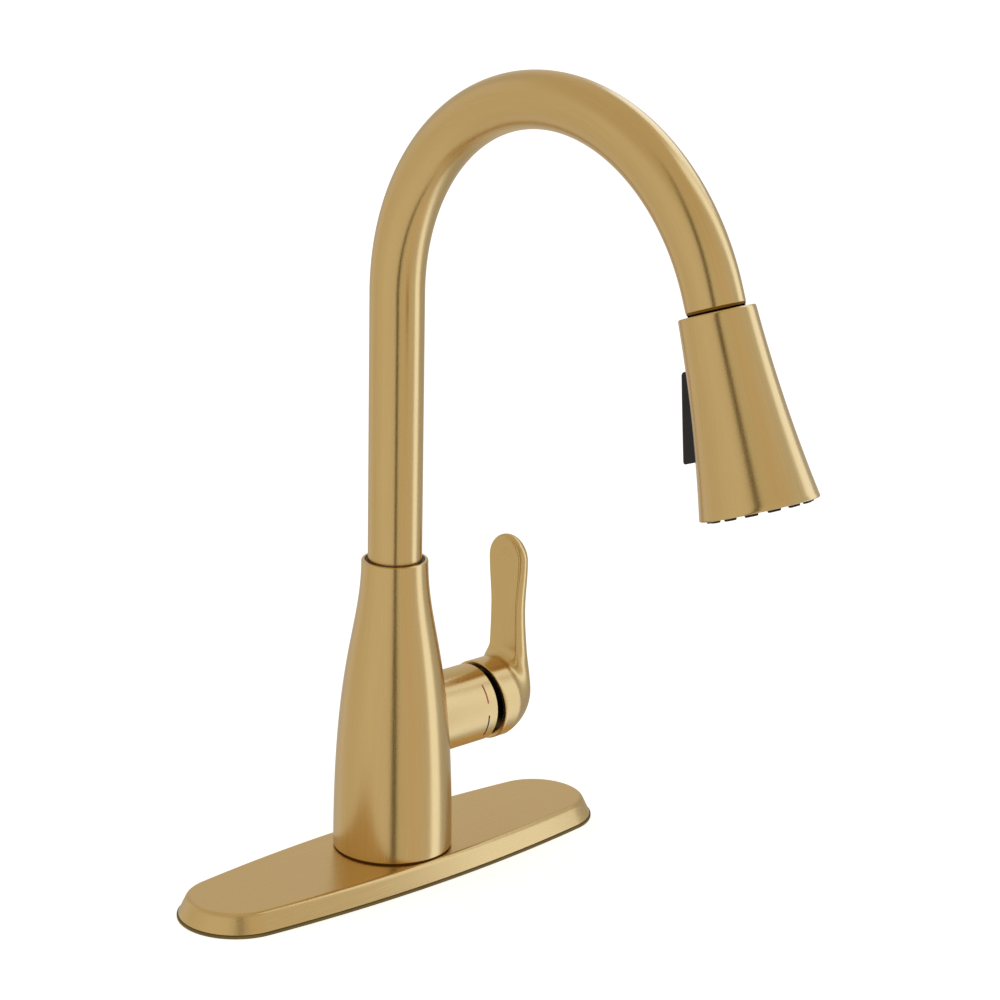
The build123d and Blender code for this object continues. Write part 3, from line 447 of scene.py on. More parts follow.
def rounded(corners, radii, steps=6):
    """Closed profile through corners, where a corner with a radius becomes an arc tangent to both its sides.

    The arc starts radius / tan(half the inner angle) before the corner, and turns its start into its end.
    """
    corners = np.asarray(corners, float)
    t = np.linspace(0, 1, steps + 1)[:, None]
    pieces = []
    for k, radius in enumerate(radii):
        corner = corners[k]
        if radius == 0:
            pieces.append(corner[None])
            continue
        back = corners[k - 1] - corner
        ahead = corners[(k + 1) % len(corners)] - corner
        back /= np.linalg.norm(back)
        ahead /= np.linalg.norm(ahead)
        half = math.acos(np.clip(back @ ahead, -1, 1)) / 2
        centre = corner + (back + ahead) / np.linalg.norm(back + ahead) * radius / math.sin(half)
        start = corner + back * radius / math.tan(half) - centre
        end = corner + ahead * radius / math.tan(half) - centre
        turn = math.pi - 2 * half
        pieces.append(centre + (np.sin((1 - t) * turn) * start + np.sin(t * turn) * end) / math.sin(turn))
    return np.concatenate(pieces)


def tube_profile(outer, bore, start, end, outer_round, bore_round):
    """Half section of a tube, as (radius, place along its axis), with both edges of its far end rounded."""
    corners = [(outer, start), (outer, end), (bore, end), (bore, start)]
    return rounded(corners, [0, outer_round, bore_round, 0])


def margins(profile, width, least):
    """Closed profile with a point near both ends of each side longer than least, so that flats shade flat."""
    following = np.roll(profile, -1, 0)
    side = following - profile
    size = np.linalg.norm(side, axis=1, keepdims=True)
    inset = side * width / np.maximum(size, width)
    long = size[:, 0] > least
    stacked = np.stack([profile, profile + inset, following - inset], 1)
    return stacked[np.stack([np.ones_like(long), long, long], 1)]


def between_rows(first, last, count):
    """Rows between two rows of points, at even shares of the way."""
    share = np.linspace(0, 1, count + 2)[1:-1, None, None]
    return first[None] * (1 - share) + last[None] * share


def turned(profile, origin, axis, across, count):
    """Grid of a profile of (radius, height) turned round an axis.

    Each point is origin + height * axis + radius * (cos a * across + sin a * the third direction).
    """
    ring = on_circle(even_turns(count)) @ np.stack([across, np.cross(axis, across)])
    return origin + profile[:, 1, None, None] * axis + profile[:, 0, None, None] * ring


def tube_rows(points, tangents, radii, count):
    """Circles of each radius round each point of a line in the YZ plane, square to its tangent."""
    turn = even_turns(count)[None, :, None]
    across = np.cross(tangents, RIGHT)[:, None]
    return points[:, None] + radii[:, None, None] * (np.cos(turn) * RIGHT + np.sin(turn) * across)


def travelled(points, axis, wrap):
    """Mean distance travelled along one side of a grid, with a last value that closes a wrapped side."""
    step = np.linalg.norm(np.roll(points, -1, axis) - points, axis=2).mean(1 - axis)
    return np.concatenate([[0.0], np.cumsum(step if wrap else step[:-1])])


def grid_corners(rows, columns, wrap_rows):
    """Row and column numbers of the four corners of every face of a grid whose columns close up."""
    row, column = np.meshgrid(np.arange(rows if wrap_rows else rows - 1), np.arange(columns), indexing="ij")
    return (row, column), (row, column + 1), (row + 1, column + 1), (row + 1, column)


def grid_faces(corners, rows, columns):
    """Point numbers of every face from its corners, where the line after the last one is the first."""
    return np.stack([(r % rows) * columns + c % columns for r, c in corners], -1).reshape(-1, 4)


def surface(name, points, wrap_rows=False, keep=None, uv=None, extra=None):
    """Mesh of a grid of points, with a UV map in metres: u along the columns and v along the rows.

    Each face joins a point to its next ones in its row and column. Wrapped rows join last to first.
    keep is a mask of the faces that stay, and extra holds more faces, as point numbers of four.
    """
    rows, columns = points.shape[:2]
    corners = grid_corners(rows, columns, wrap_rows)
    if uv is None:
        uv = np.stack(np.meshgrid(travelled(points, 1, True), travelled(points, 0, wrap_rows)), -1)
    faces = grid_faces(corners, rows, columns)
    map_points = np.stack([uv[r, c] for r, c in corners], -2).reshape(-1, 4, 2)
    if keep is not None:
        faces = faces[keep.ravel()]
        map_points = map_points[keep.ravel()]
    if extra is not None:
        faces = np.concatenate([faces, extra])
        map_points = np.concatenate([map_points, uv[:rows, :columns].reshape(-1, 2)[extra]])
    return mesh_from(name, points.reshape(-1, 3), faces, map_points)


def repeated(name, grids):
    """Mesh of many closed grids of the same shape, as one array of points and faces, mapped by x and z."""
    count, rows, columns = grids.shape[:3]
    face = grid_faces(grid_corners(rows, columns, False), rows, columns)
    faces = (np.arange(count)[:, None, None] * rows * columns + face).reshape(-1, 4)
    points = grids.reshape(-1, 3)
    return mesh_from(name, points, faces, points[faces][..., [0, 2]])


def mesh_from(name, points, faces, map_points):
    """Smooth mesh of points and four sided faces, merged at poles and seams, with faces turned outwards."""
    mesh = bpy.data.meshes.new(name)
    mesh.from_pydata(points.tolist(), [], faces.tolist())
    layer = mesh.uv_layers.new(name="brush")
    layer.data.foreach_set("uv", map_points.astype(np.float32).ravel())
    form = bmesh.new()
    form.from_mesh(mesh)
    bmesh.ops.remove_doubles(form, verts=form.verts, dist=MERGE_DISTANCE)
    bmesh.ops.recalc_face_normals(form, faces=form.faces)
    form.to_mesh(mesh)
    form.free()
    mesh.shade_smooth()
    mesh.set_sharp_from_angle(angle=SHARP_ANGLE)
    return mesh


def place(mesh, node, body=None, slot=None):
    """New piece from a mesh: it stands for a node of the frame, has its slot and finish, and rides on a body.

    A piece that the frame has no node for has None as its node and gives its slot.
    """
    slot = slot or slot_of[node]
    piece = bpy.data.objects.new(mesh.name, mesh)
    bpy.context.scene.collection.objects.link(piece)
    mesh.materials.append(finish_for(slot))
    if body is not None:
        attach(piece, body)
    if node is not None:
        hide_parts(node)
    return piece


# Finishes

def connect(tree, made, inputs):
    """Inputs of a node set or linked, by name or number."""
    for key, value in inputs.items():
        if isinstance(value, bpy.types.NodeSocket):
            tree.links.new(value, made.inputs[key])
        else:
            made.inputs[key].default_value = value


def add_node(tree, kind, inputs=None, **settings):
    """New shader node with its settings and inputs."""
    made = tree.nodes.new(f"ShaderNode{kind}")
    for key, value in settings.items():
        setattr(made, key, value)
    connect(tree, made, inputs or {})
    return made


def maths(tree, operation, *values):
    """Result of an operation on one or two values."""
    return add_node(tree, "Math", dict(enumerate(values)), operation=operation).outputs[0]


def noise(tree, vector, scale, detail, roughness=0.5):
    """Value of a noise at a vector."""
    inputs = {"Vector": vector, "Scale": scale, "Detail": detail, "Roughness": roughness}
    return add_node(tree, "TexNoise", inputs).outputs["Fac"]


def ranged(tree, value, start, end, lowest=0.0, highest=1.0, **settings):
    """Value from start to end, moved to the range from lowest to highest and kept in it."""
    inputs = {"Value": value, "From Min": start, "From Max": end, "To Min": lowest, "To Max": highest}
    return add_node(tree, "MapRange", inputs, **settings).outputs["Result"]


def spread(tree, value, lowest=0.0, highest=1.0):
    """The usual range of a noise, spread from lowest to highest."""
    return ranged(tree, value, *NOISE_RANGE, lowest, highest)


def toned(tint, share=1.0):
    """Colour times a share, with full alpha."""
    return (*[share * part for part in tint], 1.0)


def mixed(tree, share, first, last):
    """Colour between two colours, by a share.

    A mix node takes its two colours at inputs 6 and 7, and gives one at output 2.
    """
    return add_node(tree, "Mix", {"Factor": share, 6: first, 7: last}, data_type="RGBA").outputs[2]


def relief(tree, strength, distance, height):
    """Normal raised by a height."""
    inputs = {"Strength": strength, "Distance": distance, "Height": height}
    return add_node(tree, "Bump", inputs).outputs["Normal"]


def brush_map(tree):
    """The piece's UV map in metres."""
    return add_node(tree, "UVMap", uv_map="brush").outputs["UV"]


def effect_group(name, inputs, outputs, draw):
    """Node group built on its first use: inputs as {name: default}, names of outputs, and what draws them.

    A default of None makes a vector input, and all other sockets hold numbers. draw takes the group and its
    inputs, and gives a socket for each output.
    """
    if name in bpy.data.node_groups:
        return bpy.data.node_groups[name]
    group = bpy.data.node_groups.new(name, "ShaderNodeTree")
    for label, default in inputs.items():
        kind = "NodeSocketVector" if default is None else "NodeSocketFloat"
        socket = group.interface.new_socket(label, in_out="INPUT", socket_type=kind)
        if default is not None:
            socket.default_value = default
    for label in outputs:
        group.interface.new_socket(label, in_out="OUTPUT", socket_type="NodeSocketFloat")
    drawn = draw(group, group.nodes.new("NodeGroupInput").outputs)
    connect(group, group.nodes.new("NodeGroupOutput"), dict(zip(outputs, drawn)))
    return group


def brushed_grain():
    """Group that draws brush lines along v: noise squeezed across u and stretched along v, in two widths."""

    def draw(group, given):
        pace = add_node(group, "CombineXYZ", {"X": given["Lines per metre"], "Y": given["Breaks per metre"]})
        fine = add_node(group, "VectorMath", {0: given["Vector"], 1: pace.outputs[0]}, operation="MULTIPLY")
        coarse = add_node(group, "VectorMath", {0: fine.outputs[0], 1: WIDE_LINES}, operation="MULTIPLY")
        thin = noise(group, fine.outputs[0], scale=1.0, detail=3.0, roughness=0.65)
        wide = noise(group, coarse.outputs[0], scale=1.0, detail=2.0)
        both = add_node(group, "Mix", {"Factor": WIDE_SHARE, "A": thin, "B": wide})
        point = add_node(group, "TexCoord").outputs["Object"]
        return both.outputs["Result"], noise(group, point, BRUSH_CLOUDS, detail=2.0)

    inputs = {"Vector": None, "Lines per metre": BRUSH_LINES, "Breaks per metre": 45.0}
    return effect_group("Brushed grain", inputs, ("Grain", "Cloud"), draw)


def moulded_speckle():
    """Group for moulded plastic and rubber: a fine pebbled noise and a slow cloud, on object coordinates."""

    def draw(group, given):
        point = add_node(group, "TexCoord").outputs["Object"]
        speckle = noise(group, point, given["Specks per metre"], detail=2.0)
        return speckle, noise(group, point, MOULDED_CLOUDS, detail=3.0)

    return effect_group("Moulded speckle", {"Specks per metre": MOULDED_SPECKS}, ("Speckle", "Cloud"), draw)


def new_material(name):
    """Material with a Principled shader, as (material, tree, shader)."""
    material = bpy.data.materials.new(name)
    material.use_nodes = True
    return material, material.node_tree, material.node_tree.nodes["Principled BSDF"]


def brushed_gold(name, values, breaks):
    """Brushed gold: brush lines shift its colour and roughness and raise a fine bump along the UV map.

    Its gloss is drawn out along v, and where the piece's hollow attribute is 1 its colour turns to a painted shade
    of dark gold.
    """
    material, tree, shader = new_material(name)
    pattern = {"Vector": brush_map(tree), "Lines per metre": BRUSH_LINES, "Breaks per metre": breaks}
    grain, cloud = add_node(tree, "Group", pattern, node_tree=brushed_grain()).outputs
    tone = mixed(tree, spread(tree, grain), toned(values.gold_dark), toned(values.gold_light))
    # hollow attribute: 1 inside the lever's hollow, where the gold's colour is darkened as painted shade
    inside = add_node(tree, "Attribute", attribute_name="hollow").outputs["Fac"]
    rough, swing = values.gold_roughness, BRUSH_SWING
    streaks = spread(tree, grain, rough - swing, rough + swing)
    drift = spread(tree, cloud, -swing / 2, swing / 2)
    tangent = add_node(tree, "Tangent", direction_type="UV_MAP", uv_map="brush").outputs["Tangent"]
    looks = {
        # painted shade: the colour goes dark where the hollow attribute is 1
        "Base Color": mixed(tree, inside, tone, toned(values.hollow_shade_colour)),
        "Roughness": maths(tree, "ADD", streaks, drift),
        "Normal": relief(tree, BRUSH_BUMP, BRUSH_DEPTH, grain),
        "Tangent": tangent,
        "Anisotropic": BRUSH_STRETCH,
        "Anisotropic Rotation": BRUSH_ROTATION,
        "Metallic": 1.0,
    }
    connect(tree, shader, looks)
    return material


def machined_metal(name, tint, roughness):
    """Bare machined metal: fine speckled tone and roughness on object coordinates, for parts out of sight."""
    material, tree, shader = new_material(name)
    pattern = {"Specks per metre": MACHINED_SPECKS}
    speckle, cloud = add_node(tree, "Group", pattern, node_tree=moulded_speckle()).outputs
    looks = {
        "Base Color": mixed(tree, spread(tree, speckle), toned(tint, MACHINED_DARK), toned(tint)),
        "Roughness": spread(tree, cloud, roughness - MACHINED_SWING, roughness + MACHINED_SWING),
        "Metallic": 1.0,
    }
    connect(tree, shader, looks)
    return material


def moulded(name, tint, roughness, bump=0.12, sheen=0.0, gloss=0.5):
    """Moulded plastic, rubber or ceramic: a pebbled bump, with slow changes of tone and roughness."""
    material, tree, shader = new_material(name)
    pattern = {"Specks per metre": MOULDED_SPECKS}
    speckle, cloud = add_node(tree, "Group", pattern, node_tree=moulded_speckle()).outputs
    dark, light = MOULDED_TONES
    looks = {
        "Base Color": mixed(tree, spread(tree, cloud), toned(tint, dark), toned(tint, light)),
        "Roughness": spread(tree, speckle, roughness - MOULDED_SWING, roughness + MOULDED_SWING),
        "Normal": relief(tree, bump, MOULDED_DEPTH, speckle),
        "Sheen Weight": sheen,
        "Specular IOR Level": gloss,
    }
    connect(tree, shader, looks)
    return material


def braided_hose(name, tint):
    """Braided nylon: two sets of diagonal strands, each a sine of u plus or minus v, the higher on top."""
    material, tree, shader = new_material(name)
    u, v, _ = add_node(tree, "SeparateXYZ", {"Vector": brush_map(tree)}).outputs
    leans = [maths(tree, operation, u, v) for operation in ("ADD", "SUBTRACT")]
    strands = [maths(tree, "SINE", maths(tree, "MULTIPLY", lean, BRAID_PACE)) for lean in leans]
    weave = ranged(tree, maths(tree, "MAXIMUM", *strands), BRAID_LOW, 1.0)
    dark, light = BRAID_TONES
    looks = {
        "Base Color": mixed(tree, weave, toned(tint, dark), toned(tint, light)),
        "Normal": relief(tree, BRAID_BUMP, BRAID_DEPTH, weave),
        "Roughness": BRAID_ROUGHNESS,
    }
    connect(tree, shader, looks)
    return material


finishes = {}


def finish_for(slot):
    """Material of a finish, which has the name of its slot in the record, built on its first use."""
    if slot in finishes:
        return finishes[slot]
    values = bpy.context.scene.faucet_finishes
    makers = {
        "gold_brass": lambda: brushed_gold(slot, values, breaks=45),
        "gold_plated_metal": lambda: brushed_gold(slot, values, breaks=40),
        "gold_plated_plastic": lambda: brushed_gold(slot, values, breaks=55),
        "bare_brass": lambda: machined_metal(slot, values.brass_colour, roughness=0.30),
        "steel": lambda: machined_metal(slot, values.steel_colour, roughness=0.28),
        "magnet": lambda: machined_metal(slot, values.magnet_colour, roughness=0.45),
        "black_plastic": lambda: moulded(slot, values.black_colour, roughness=0.36, gloss=0.2),
        "grey_plastic": lambda: moulded(slot, values.grey_colour, roughness=0.42),
        "black_rubber": lambda: moulded(slot, values.rubber_colour, roughness=0.55, sheen=0.05, gloss=0.25),
        "gasket_rubber": lambda: moulded(slot, values.gasket_colour, roughness=0.5, gloss=0.1),
        # Painted shade of the seams between gold pieces, on the body's seal and the dock's collar
        "seam_ring": lambda: moulded(slot, values.seam_shade_colour, roughness=0.5, gloss=0.1),
        "ceramic": lambda: moulded(slot, values.ceramic_colour, roughness=0.18, bump=0.02),
        "hose_braid": lambda: braided_hose(slot, values.hose_colour),
        "hot_red": lambda: moulded(slot, values.hot_colour, roughness=0.55, bump=0.05),
        "cold_blue": lambda: moulded(slot, values.cold_colour, roughness=0.55, bump=0.05),
    }
    finishes[slot] = makers[slot]()
    return finishes[slot]


# Shapes, with the numbers of their points as arguments: steps along a shape and turns round it

def body_curve(sizes, inset, count):
    """Body's outer curve moved in by inset, as (radius, height): a Bezier that leaves both ends upright."""
    bottom, top = low("body_shell", 2), high("body_shell", 2)
    base, neck = sizes.body_base - inset, sizes.body_neck - inset
    pulls = [(base, bottom + sizes.base_pull), (neck, top - sizes.neck_pull)]
    return bezier([(base, bottom), *pulls, (neck, top)], count)


def body_grid(sizes, outer_steps=90, inner_steps=60, turns=160):
    """Body as a bottle turned round Z: S-curve outside, rounded lip, neck's bore and the hollow inside."""
    bottom, top = low("body_shell", 2), high("body_shell", 2)
    bore_floor = top - sizes.neck_bore_length
    ring_top = bottom + sizes.base_ring
    outer = body_curve(sizes, 0.0, outer_steps)
    inner = body_curve(sizes, sizes.body_wall, inner_steps)[::-1]
    inner = inner[(inner[:, 1] < bore_floor) & (inner[:, 1] > ring_top)]
    corners = np.concatenate(
        [
            [(sizes.base_bore, bottom)],
            outer,
            [(sizes.neck_bore, top), (sizes.neck_bore, bore_floor), (inner[0, 0], bore_floor)],
            inner,
            [(inner[-1, 0], ring_top), (sizes.base_bore, ring_top)],
        ]
    )
    radii = np.zeros(len(corners))
    radii[1] = sizes.base_round
    radii[len(outer)] = sizes.body_lip
    radii[len(outer) + 1] = sizes.base_round / 2
    profile = margins(rounded(corners, radii), BODY_BAND, BODY_FLAT)
    return turned(profile, np.zeros(3), UP, RIGHT, turns)


def plate_frame(sizes, end_steps=60, side_steps=80):
    """Outline of the plate by the direction of its normal, as (centres, radii, normals).

    Two end arcs and two wide side arcs share their tangents, so a point is centre + radius * normal.
    """
    end_x = sizes.plate_length / 2 - sizes.plate_end
    half = sizes.plate_width / 2
    side = (end_x**2 / (half - sizes.plate_end) + sizes.plate_end + half) / 2
    turn = math.atan2(end_x, side - half)
    ends = np.linspace(turn - QUARTER, QUARTER - turn, end_steps, endpoint=False)
    sides = np.linspace(QUARTER - turn, QUARTER + turn, side_steps, endpoint=False)
    counts = [end_steps, side_steps] * 2
    centres = np.repeat([(end_x, 0), (0, half - side), (-end_x, 0), (0, side - half)], counts, 0)
    radii = np.repeat([sizes.plate_end, side] * 2, counts)
    return centres, radii, on_circle(np.concatenate([ends, sides, ends + math.pi, sides + math.pi]))


def plate_rows(sizes, profile):
    """Rows of the plate's outline moved in by each inset and lifted to each height of a profile."""
    centres, radii, normals = plate_frame(sizes)
    return lifted(centres + (radii - profile[:, 0, None])[..., None] * normals, profile[:, 1])


def ring_rows(sizes, rings):
    """Rows of circles of (radius, height), with points in the directions of the plate's outline."""
    outline = plate_rows(sizes, np.zeros((1, 2)))[0, :, :2]
    unit = outline / np.linalg.norm(outline, axis=1, keepdims=True)
    rings = np.asarray(rings, float)
    return lifted(rings[:, 0, None, None] * unit, rings[:, 1])


def deck_plate_grid(sizes, round_steps=8, top_rows=6, under_rows=2):
    """Deck plate as a stamping: sloped side, rounded shoulder, flat top with a hole, hollow with a boss."""
    foot, top, deck = high("deck_gasket", 2), high("deck_plate", 2), low("deck_plate", 2)
    foot_inset, top_inset, wall = sizes.plate_foot_inset, sizes.plate_top_inset, sizes.plate_wall
    flat_start = top_inset + 2 * sizes.plate_round
    outside = rounded(
        [(foot_inset + wall, foot), (foot_inset, foot), (top_inset, top), (flat_start, top)],
        [0, PLATE_FOOT * wall, sizes.plate_round, 0],
        round_steps,
    )
    outside = margins(outside[1:-1], EDGE_BAND, PLATE_FLAT)[:-2]
    upper = plate_rows(sizes, outside)
    edge = plate_rows(sizes, outside[-1:] + [[EDGE_BAND, 0]])
    lower = plate_rows(sizes, np.array([(top_inset + wall, top - wall), (foot_inset + wall, foot)]))
    bore, boss = sizes.plate_hole, sizes.plate_boss
    hole = ring_rows(sizes, [(bore, top), (bore, deck), (boss, deck), (boss, top - wall)])
    flat = between_rows(edge[0], hole[0], top_rows)
    return np.concatenate([upper, edge, flat, hole, between_rows(hole[-1], lower[0], under_rows), lower])


def gasket_grid(sizes, round_steps=5):
    """Gasket's band under the plate's edge: a flat ring of its outline with rounded outer edges."""
    foot, top = low("deck_gasket", 2), high("deck_gasket", 2)
    band, soft = sizes.gasket_band, sizes.gasket_round
    corners = [(band, foot), (0, foot), (0, top), (band, top)]
    return plate_rows(sizes, rounded(corners, [0, soft, soft, 0], round_steps))


def plan_uv(points):
    """UV map in metres that runs along X, for flat pieces brushed along their length."""
    closed = np.concatenate([points, points[:1]])
    closed = np.concatenate([closed, closed[:, :1]], 1)
    return np.stack([closed[..., 1] + closed[..., 2], closed[..., 0]], -1)


def spout_line(sizes, leg_steps=30, arc_steps=140):
    """Middle line of the spout as (points, tangents): a straight leg, an arc and a short straight end."""
    arc_height = high("spout_tube", 2) - sizes.tube_radius - sizes.arc_radius
    a = np.linspace(0, math.acos(spray_dir[2]), arc_steps)[:, None]
    leg = UP * np.linspace(low("spout_tube", 2), arc_height, leg_steps, endpoint=False)[:, None]
    arc = UP * arc_height + sizes.arc_radius * ((1 - np.cos(a)) * FORWARD + np.sin(a) * UP)
    end = head_top - spray_dir * sizes.dock_gap
    tail = arc[-1] + (end - arc[-1]) * np.linspace(0, 1, TAIL_STEPS + 1)[1:, None]
    bend = np.cos(a) * UP + np.sin(a) * FORWARD
    ways = [np.tile(UP, (leg_steps, 1)), bend, np.tile(spray_dir, (TAIL_STEPS, 1))]
    return np.concatenate([leg, arc, tail]), np.concatenate(ways)


def spout_grid(sizes, round_steps=6, turns=128):
    """Spout as a tube along its line: the outside, a rounded edge at the outlet, and the bore back."""
    points, tangents = spout_line(sizes)
    outer, soft = sizes.tube_radius, sizes.tube_round
    inner = outer - sizes.tube_wall
    a = np.linspace(0, QUARTER, round_steps)
    lip_radii = np.concatenate([outer - soft + soft * np.cos(a), inner + soft - soft * np.sin(a)])
    lip_backs = np.concatenate([soft - soft * np.sin(a), soft - soft * np.cos(a)])
    lip = points[-1] - lip_backs[:, None] * tangents[-1]
    line = np.concatenate([points[:-1], lip, points[-2::-1]])
    ways = np.concatenate([tangents[:-1], np.tile(tangents[-1], (len(lip), 1)), tangents[-2::-1]])
    radii = np.concatenate([np.full(len(points) - 1, outer), lip_radii, np.full(len(points) - 1, inner)])
    return tube_rows(line, ways, radii, turns)


def sleeve_grid(base, sizes, saddle_steps=200, rows=4, turns=144):
    """Sleeve round the valve: a tube along X with its inner end at x = sqrt(body radius(z)^2 - y^2)."""
    reach, height = body_curve(base, 0.0, saddle_steps).T
    outer, bore, soft = sizes.sleeve_radius, sizes.sleeve_bore, sizes.sleeve_round
    profile = tube_profile(outer, bore, SLEEVE_START, sizes.sleeve_end, soft, soft / 2)
    points = turned(margins(profile, EDGE_BAND, SLEEVE_FLAT)[:-2], hub_axis, RIGHT, UP, turns)
    _, y, z = np.moveaxis(points[[0, -1]], -1, 0)
    first, last = np.stack([np.sqrt(np.interp(z, height, reach) ** 2 - y**2), y, z], -1)
    return np.concatenate([first[None], between_rows(first, points[0], rows), points, last[None]])


def bonnet_grid(sizes, turns=96):
    """Dark collar on the cartridge nut, in the gap before the lever: a rounded ring turned about X."""
    start, soft = high("cartridge_nut", 0), sizes.bonnet_round
    profile = tube_profile(sizes.bonnet_radius, sizes.bonnet_bore, start, sizes.bonnet_end, soft, soft / 4)
    return turned(profile, hub_axis, RIGHT, UP, turns)


def mark_grid(sizes, start, sweep, steps=41, turns=16):
    """Enamel dash on the sleeve: a flat oval section carried round the hub, with pointed ends."""
    t = np.linspace(-1, 1, steps)
    turn = (start + sweep * (t + 1) / 2)[:, None]
    end_share = sizes.mark_half / (sweep * sizes.sleeve_radius / 2)
    beyond = np.clip((np.abs(t) - 1 + end_share) / end_share, 0, 1)
    full = np.sqrt(1 - beyond**2)[:, None]
    a = even_turns(turns)
    x = sizes.sleeve_end - sizes.mark_inset + sizes.mark_half * full * np.cos(a)
    radius = sizes.sleeve_radius + full * sizes.mark_rise * (1 + MARK_DEPTH * (np.sin(a) - 1))
    return np.stack([x, -radius * np.sin(turn), hub_z + radius * np.cos(turn)], -1)


def paddle_section(sizes, face_steps=16, crease_steps=7, side_steps=34, back_steps=12):
    """Closed section of the paddle as (depth share, width share), from the middle of its flat face past -Y.

    The flat face ends in a soft crease, a round side of paddle_side follows, and a wide arc closes the back.
    Depth is a share of the section's thickness and width a share of its half width.
    """
    flat, side, soft = sizes.neck_half, sizes.paddle_side, sizes.paddle_crease
    face = np.stack([np.zeros(face_steps), np.linspace(0, soft - flat, face_steps, endpoint=False)], 1)
    centre = side * on_circle(CREASE_TURN) - [0, flat]
    start = math.pi + CREASE_TURN
    eased = start + soft / side
    crease = bezier([(0, soft - flat), (0, -flat), centre + side * on_circle(eased)], crease_steps)
    turn = np.linspace(start, FULL_TURN - BACK_TURN, side_steps)
    corner = centre + side * on_circle(turn[turn > eased + LEAST_TURN])
    back_radius = side - centre[1] / math.sin(BACK_TURN)
    back_centre = np.array([centre[0] + (side - back_radius) * math.cos(BACK_TURN), 0.0])
    back = back_centre + back_radius * on_circle(np.linspace(-BACK_TURN, 0, back_steps)[1:])
    half = np.concatenate([face, crease, corner, back])
    section = np.concatenate([half, half[-2:0:-1] * [1, -1]])
    return section / [section[:, 0].max(), -section[:, 1].min()]


def foot_centre(sizes):
    """Centre of the arc between the dome and the paddle's flat face, as (x, z)."""
    height = hub_z + sizes.rim_radius - sizes.paddle_sink + sizes.paddle_foot
    return np.array([sizes.paddle_face - sizes.paddle_foot, height])


def paddle_shares(sizes, height):
    """Shares of the way from the paddle's neck down to its foot and up to its shoulder, by height."""
    neck = sizes.neck_height
    fall = np.clip((neck - height) / (neck - foot_centre(sizes)[1]), 0, 1)
    return fall, np.clip((height - neck) / (sizes.shoulder_height - neck), 0, 1)


def paddle_thickness(sizes, height):
    """Thickness of the paddle by height: thicker at its foot, and thinner at its top."""
    fall, rise = paddle_shares(sizes, height)
    thick = sizes.paddle_thick
    foot, top = sizes.paddle_thick_foot - thick, sizes.paddle_thick_top - thick
    return thick + foot * fall**FOOT_EASE + top * rise**2


def paddle_half(sizes, height):
    """Half width of the paddle over its round sides, by height.

    The flat face narrows from its foot to the neck and widens smoothly to the top. Its share of the section
    stays the same.
    """
    section = paddle_section(sizes)
    face_share = np.abs(section[section[:, 0] < FLAT_DEPTH, 1]).max()
    fall, rise = paddle_shares(sizes, height)
    neck = sizes.neck_half
    return (neck + (sizes.foot_half - neck) * fall**2 + (sizes.top_half - neck) * smooth(rise)) / face_share


def lever_profile(sizes, dome_steps=120, back_steps=80):
    """Lever's outer profile below the paddle, in XZ, as (turn about the foot's centre, distance from it)."""
    pivot = foot_centre(sizes)
    bottom, rise = hub_z - sizes.rim_radius, pivot[1] - hub_z
    end, shoulder = sizes.dome_end, sizes.dome_shoulder
    foot_x = sizes.paddle_face + sizes.paddle_thick_foot
    dome_pulls = [(shoulder + sizes.dome_pull, bottom), (end, hub_z - sizes.dome_drop)]
    dome = bezier([(shoulder, bottom), *dome_pulls, (end, hub_z)], dome_steps)
    back_pulls = [(end, hub_z + BACK_PULL * rise), (foot_x + FOOT_LEAN, pivot[1] - FOOT_PULL * rise)]
    back = bezier([(end, hub_z), *back_pulls, (foot_x, pivot[1])], back_steps)
    line = np.concatenate([[(pivot[0], bottom)], dome, back[1:]]) - pivot
    return np.arctan2(line[:, 1], line[:, 0]), np.linalg.norm(line, axis=1)


def lever_rim(sizes, around, round_steps=5, side_rows=5):
    """Rows of the lever's hollow and rim: the stem's hole, its boss, the floor and wall, and the round rim.

    Circles on the rim's plane lean out towards their foot by rim_tilt, and the others stand upright.
    """
    rim, soft = sizes.rim_radius, sizes.rim_round
    inner = rim - sizes.rim_wall

    def upright(radius, x):
        """Upright circle at x."""
        y, z = -radius * np.sin(around), hub_z + radius * np.cos(around)
        return np.stack([np.full(len(around), x), y, z], 1)

    def leaning(radius, offset):
        """Circle on the rim's plane, moved along X by offset."""
        row = upright(radius, sizes.rim_top + offset)
        row[:, 0] += (hub_z + rim - row[:, 2]) * math.tan(sizes.rim_tilt)
        return row

    quarter = np.linspace(0, QUARTER, round_steps)
    rows = [
        upright(0.0, sizes.stem_end),
        upright(sizes.stem_hole, sizes.stem_end),
        upright(sizes.stem_hole, sizes.boss_start),
        upright(sizes.boss_radius, sizes.boss_start),
        upright(sizes.boss_radius, sizes.cavity_end),
        upright(inner, sizes.cavity_end),
        *[leaning(inner + soft - soft * math.cos(a), soft - soft * math.sin(a)) for a in quarter],
        *[leaning(rim - soft + soft * math.sin(a), soft - soft * math.cos(a)) for a in quarter],
    ]
    side = upright(rim, foot_centre(sizes)[0])
    return np.concatenate([rows, between_rows(rows[-1], side, side_rows)])


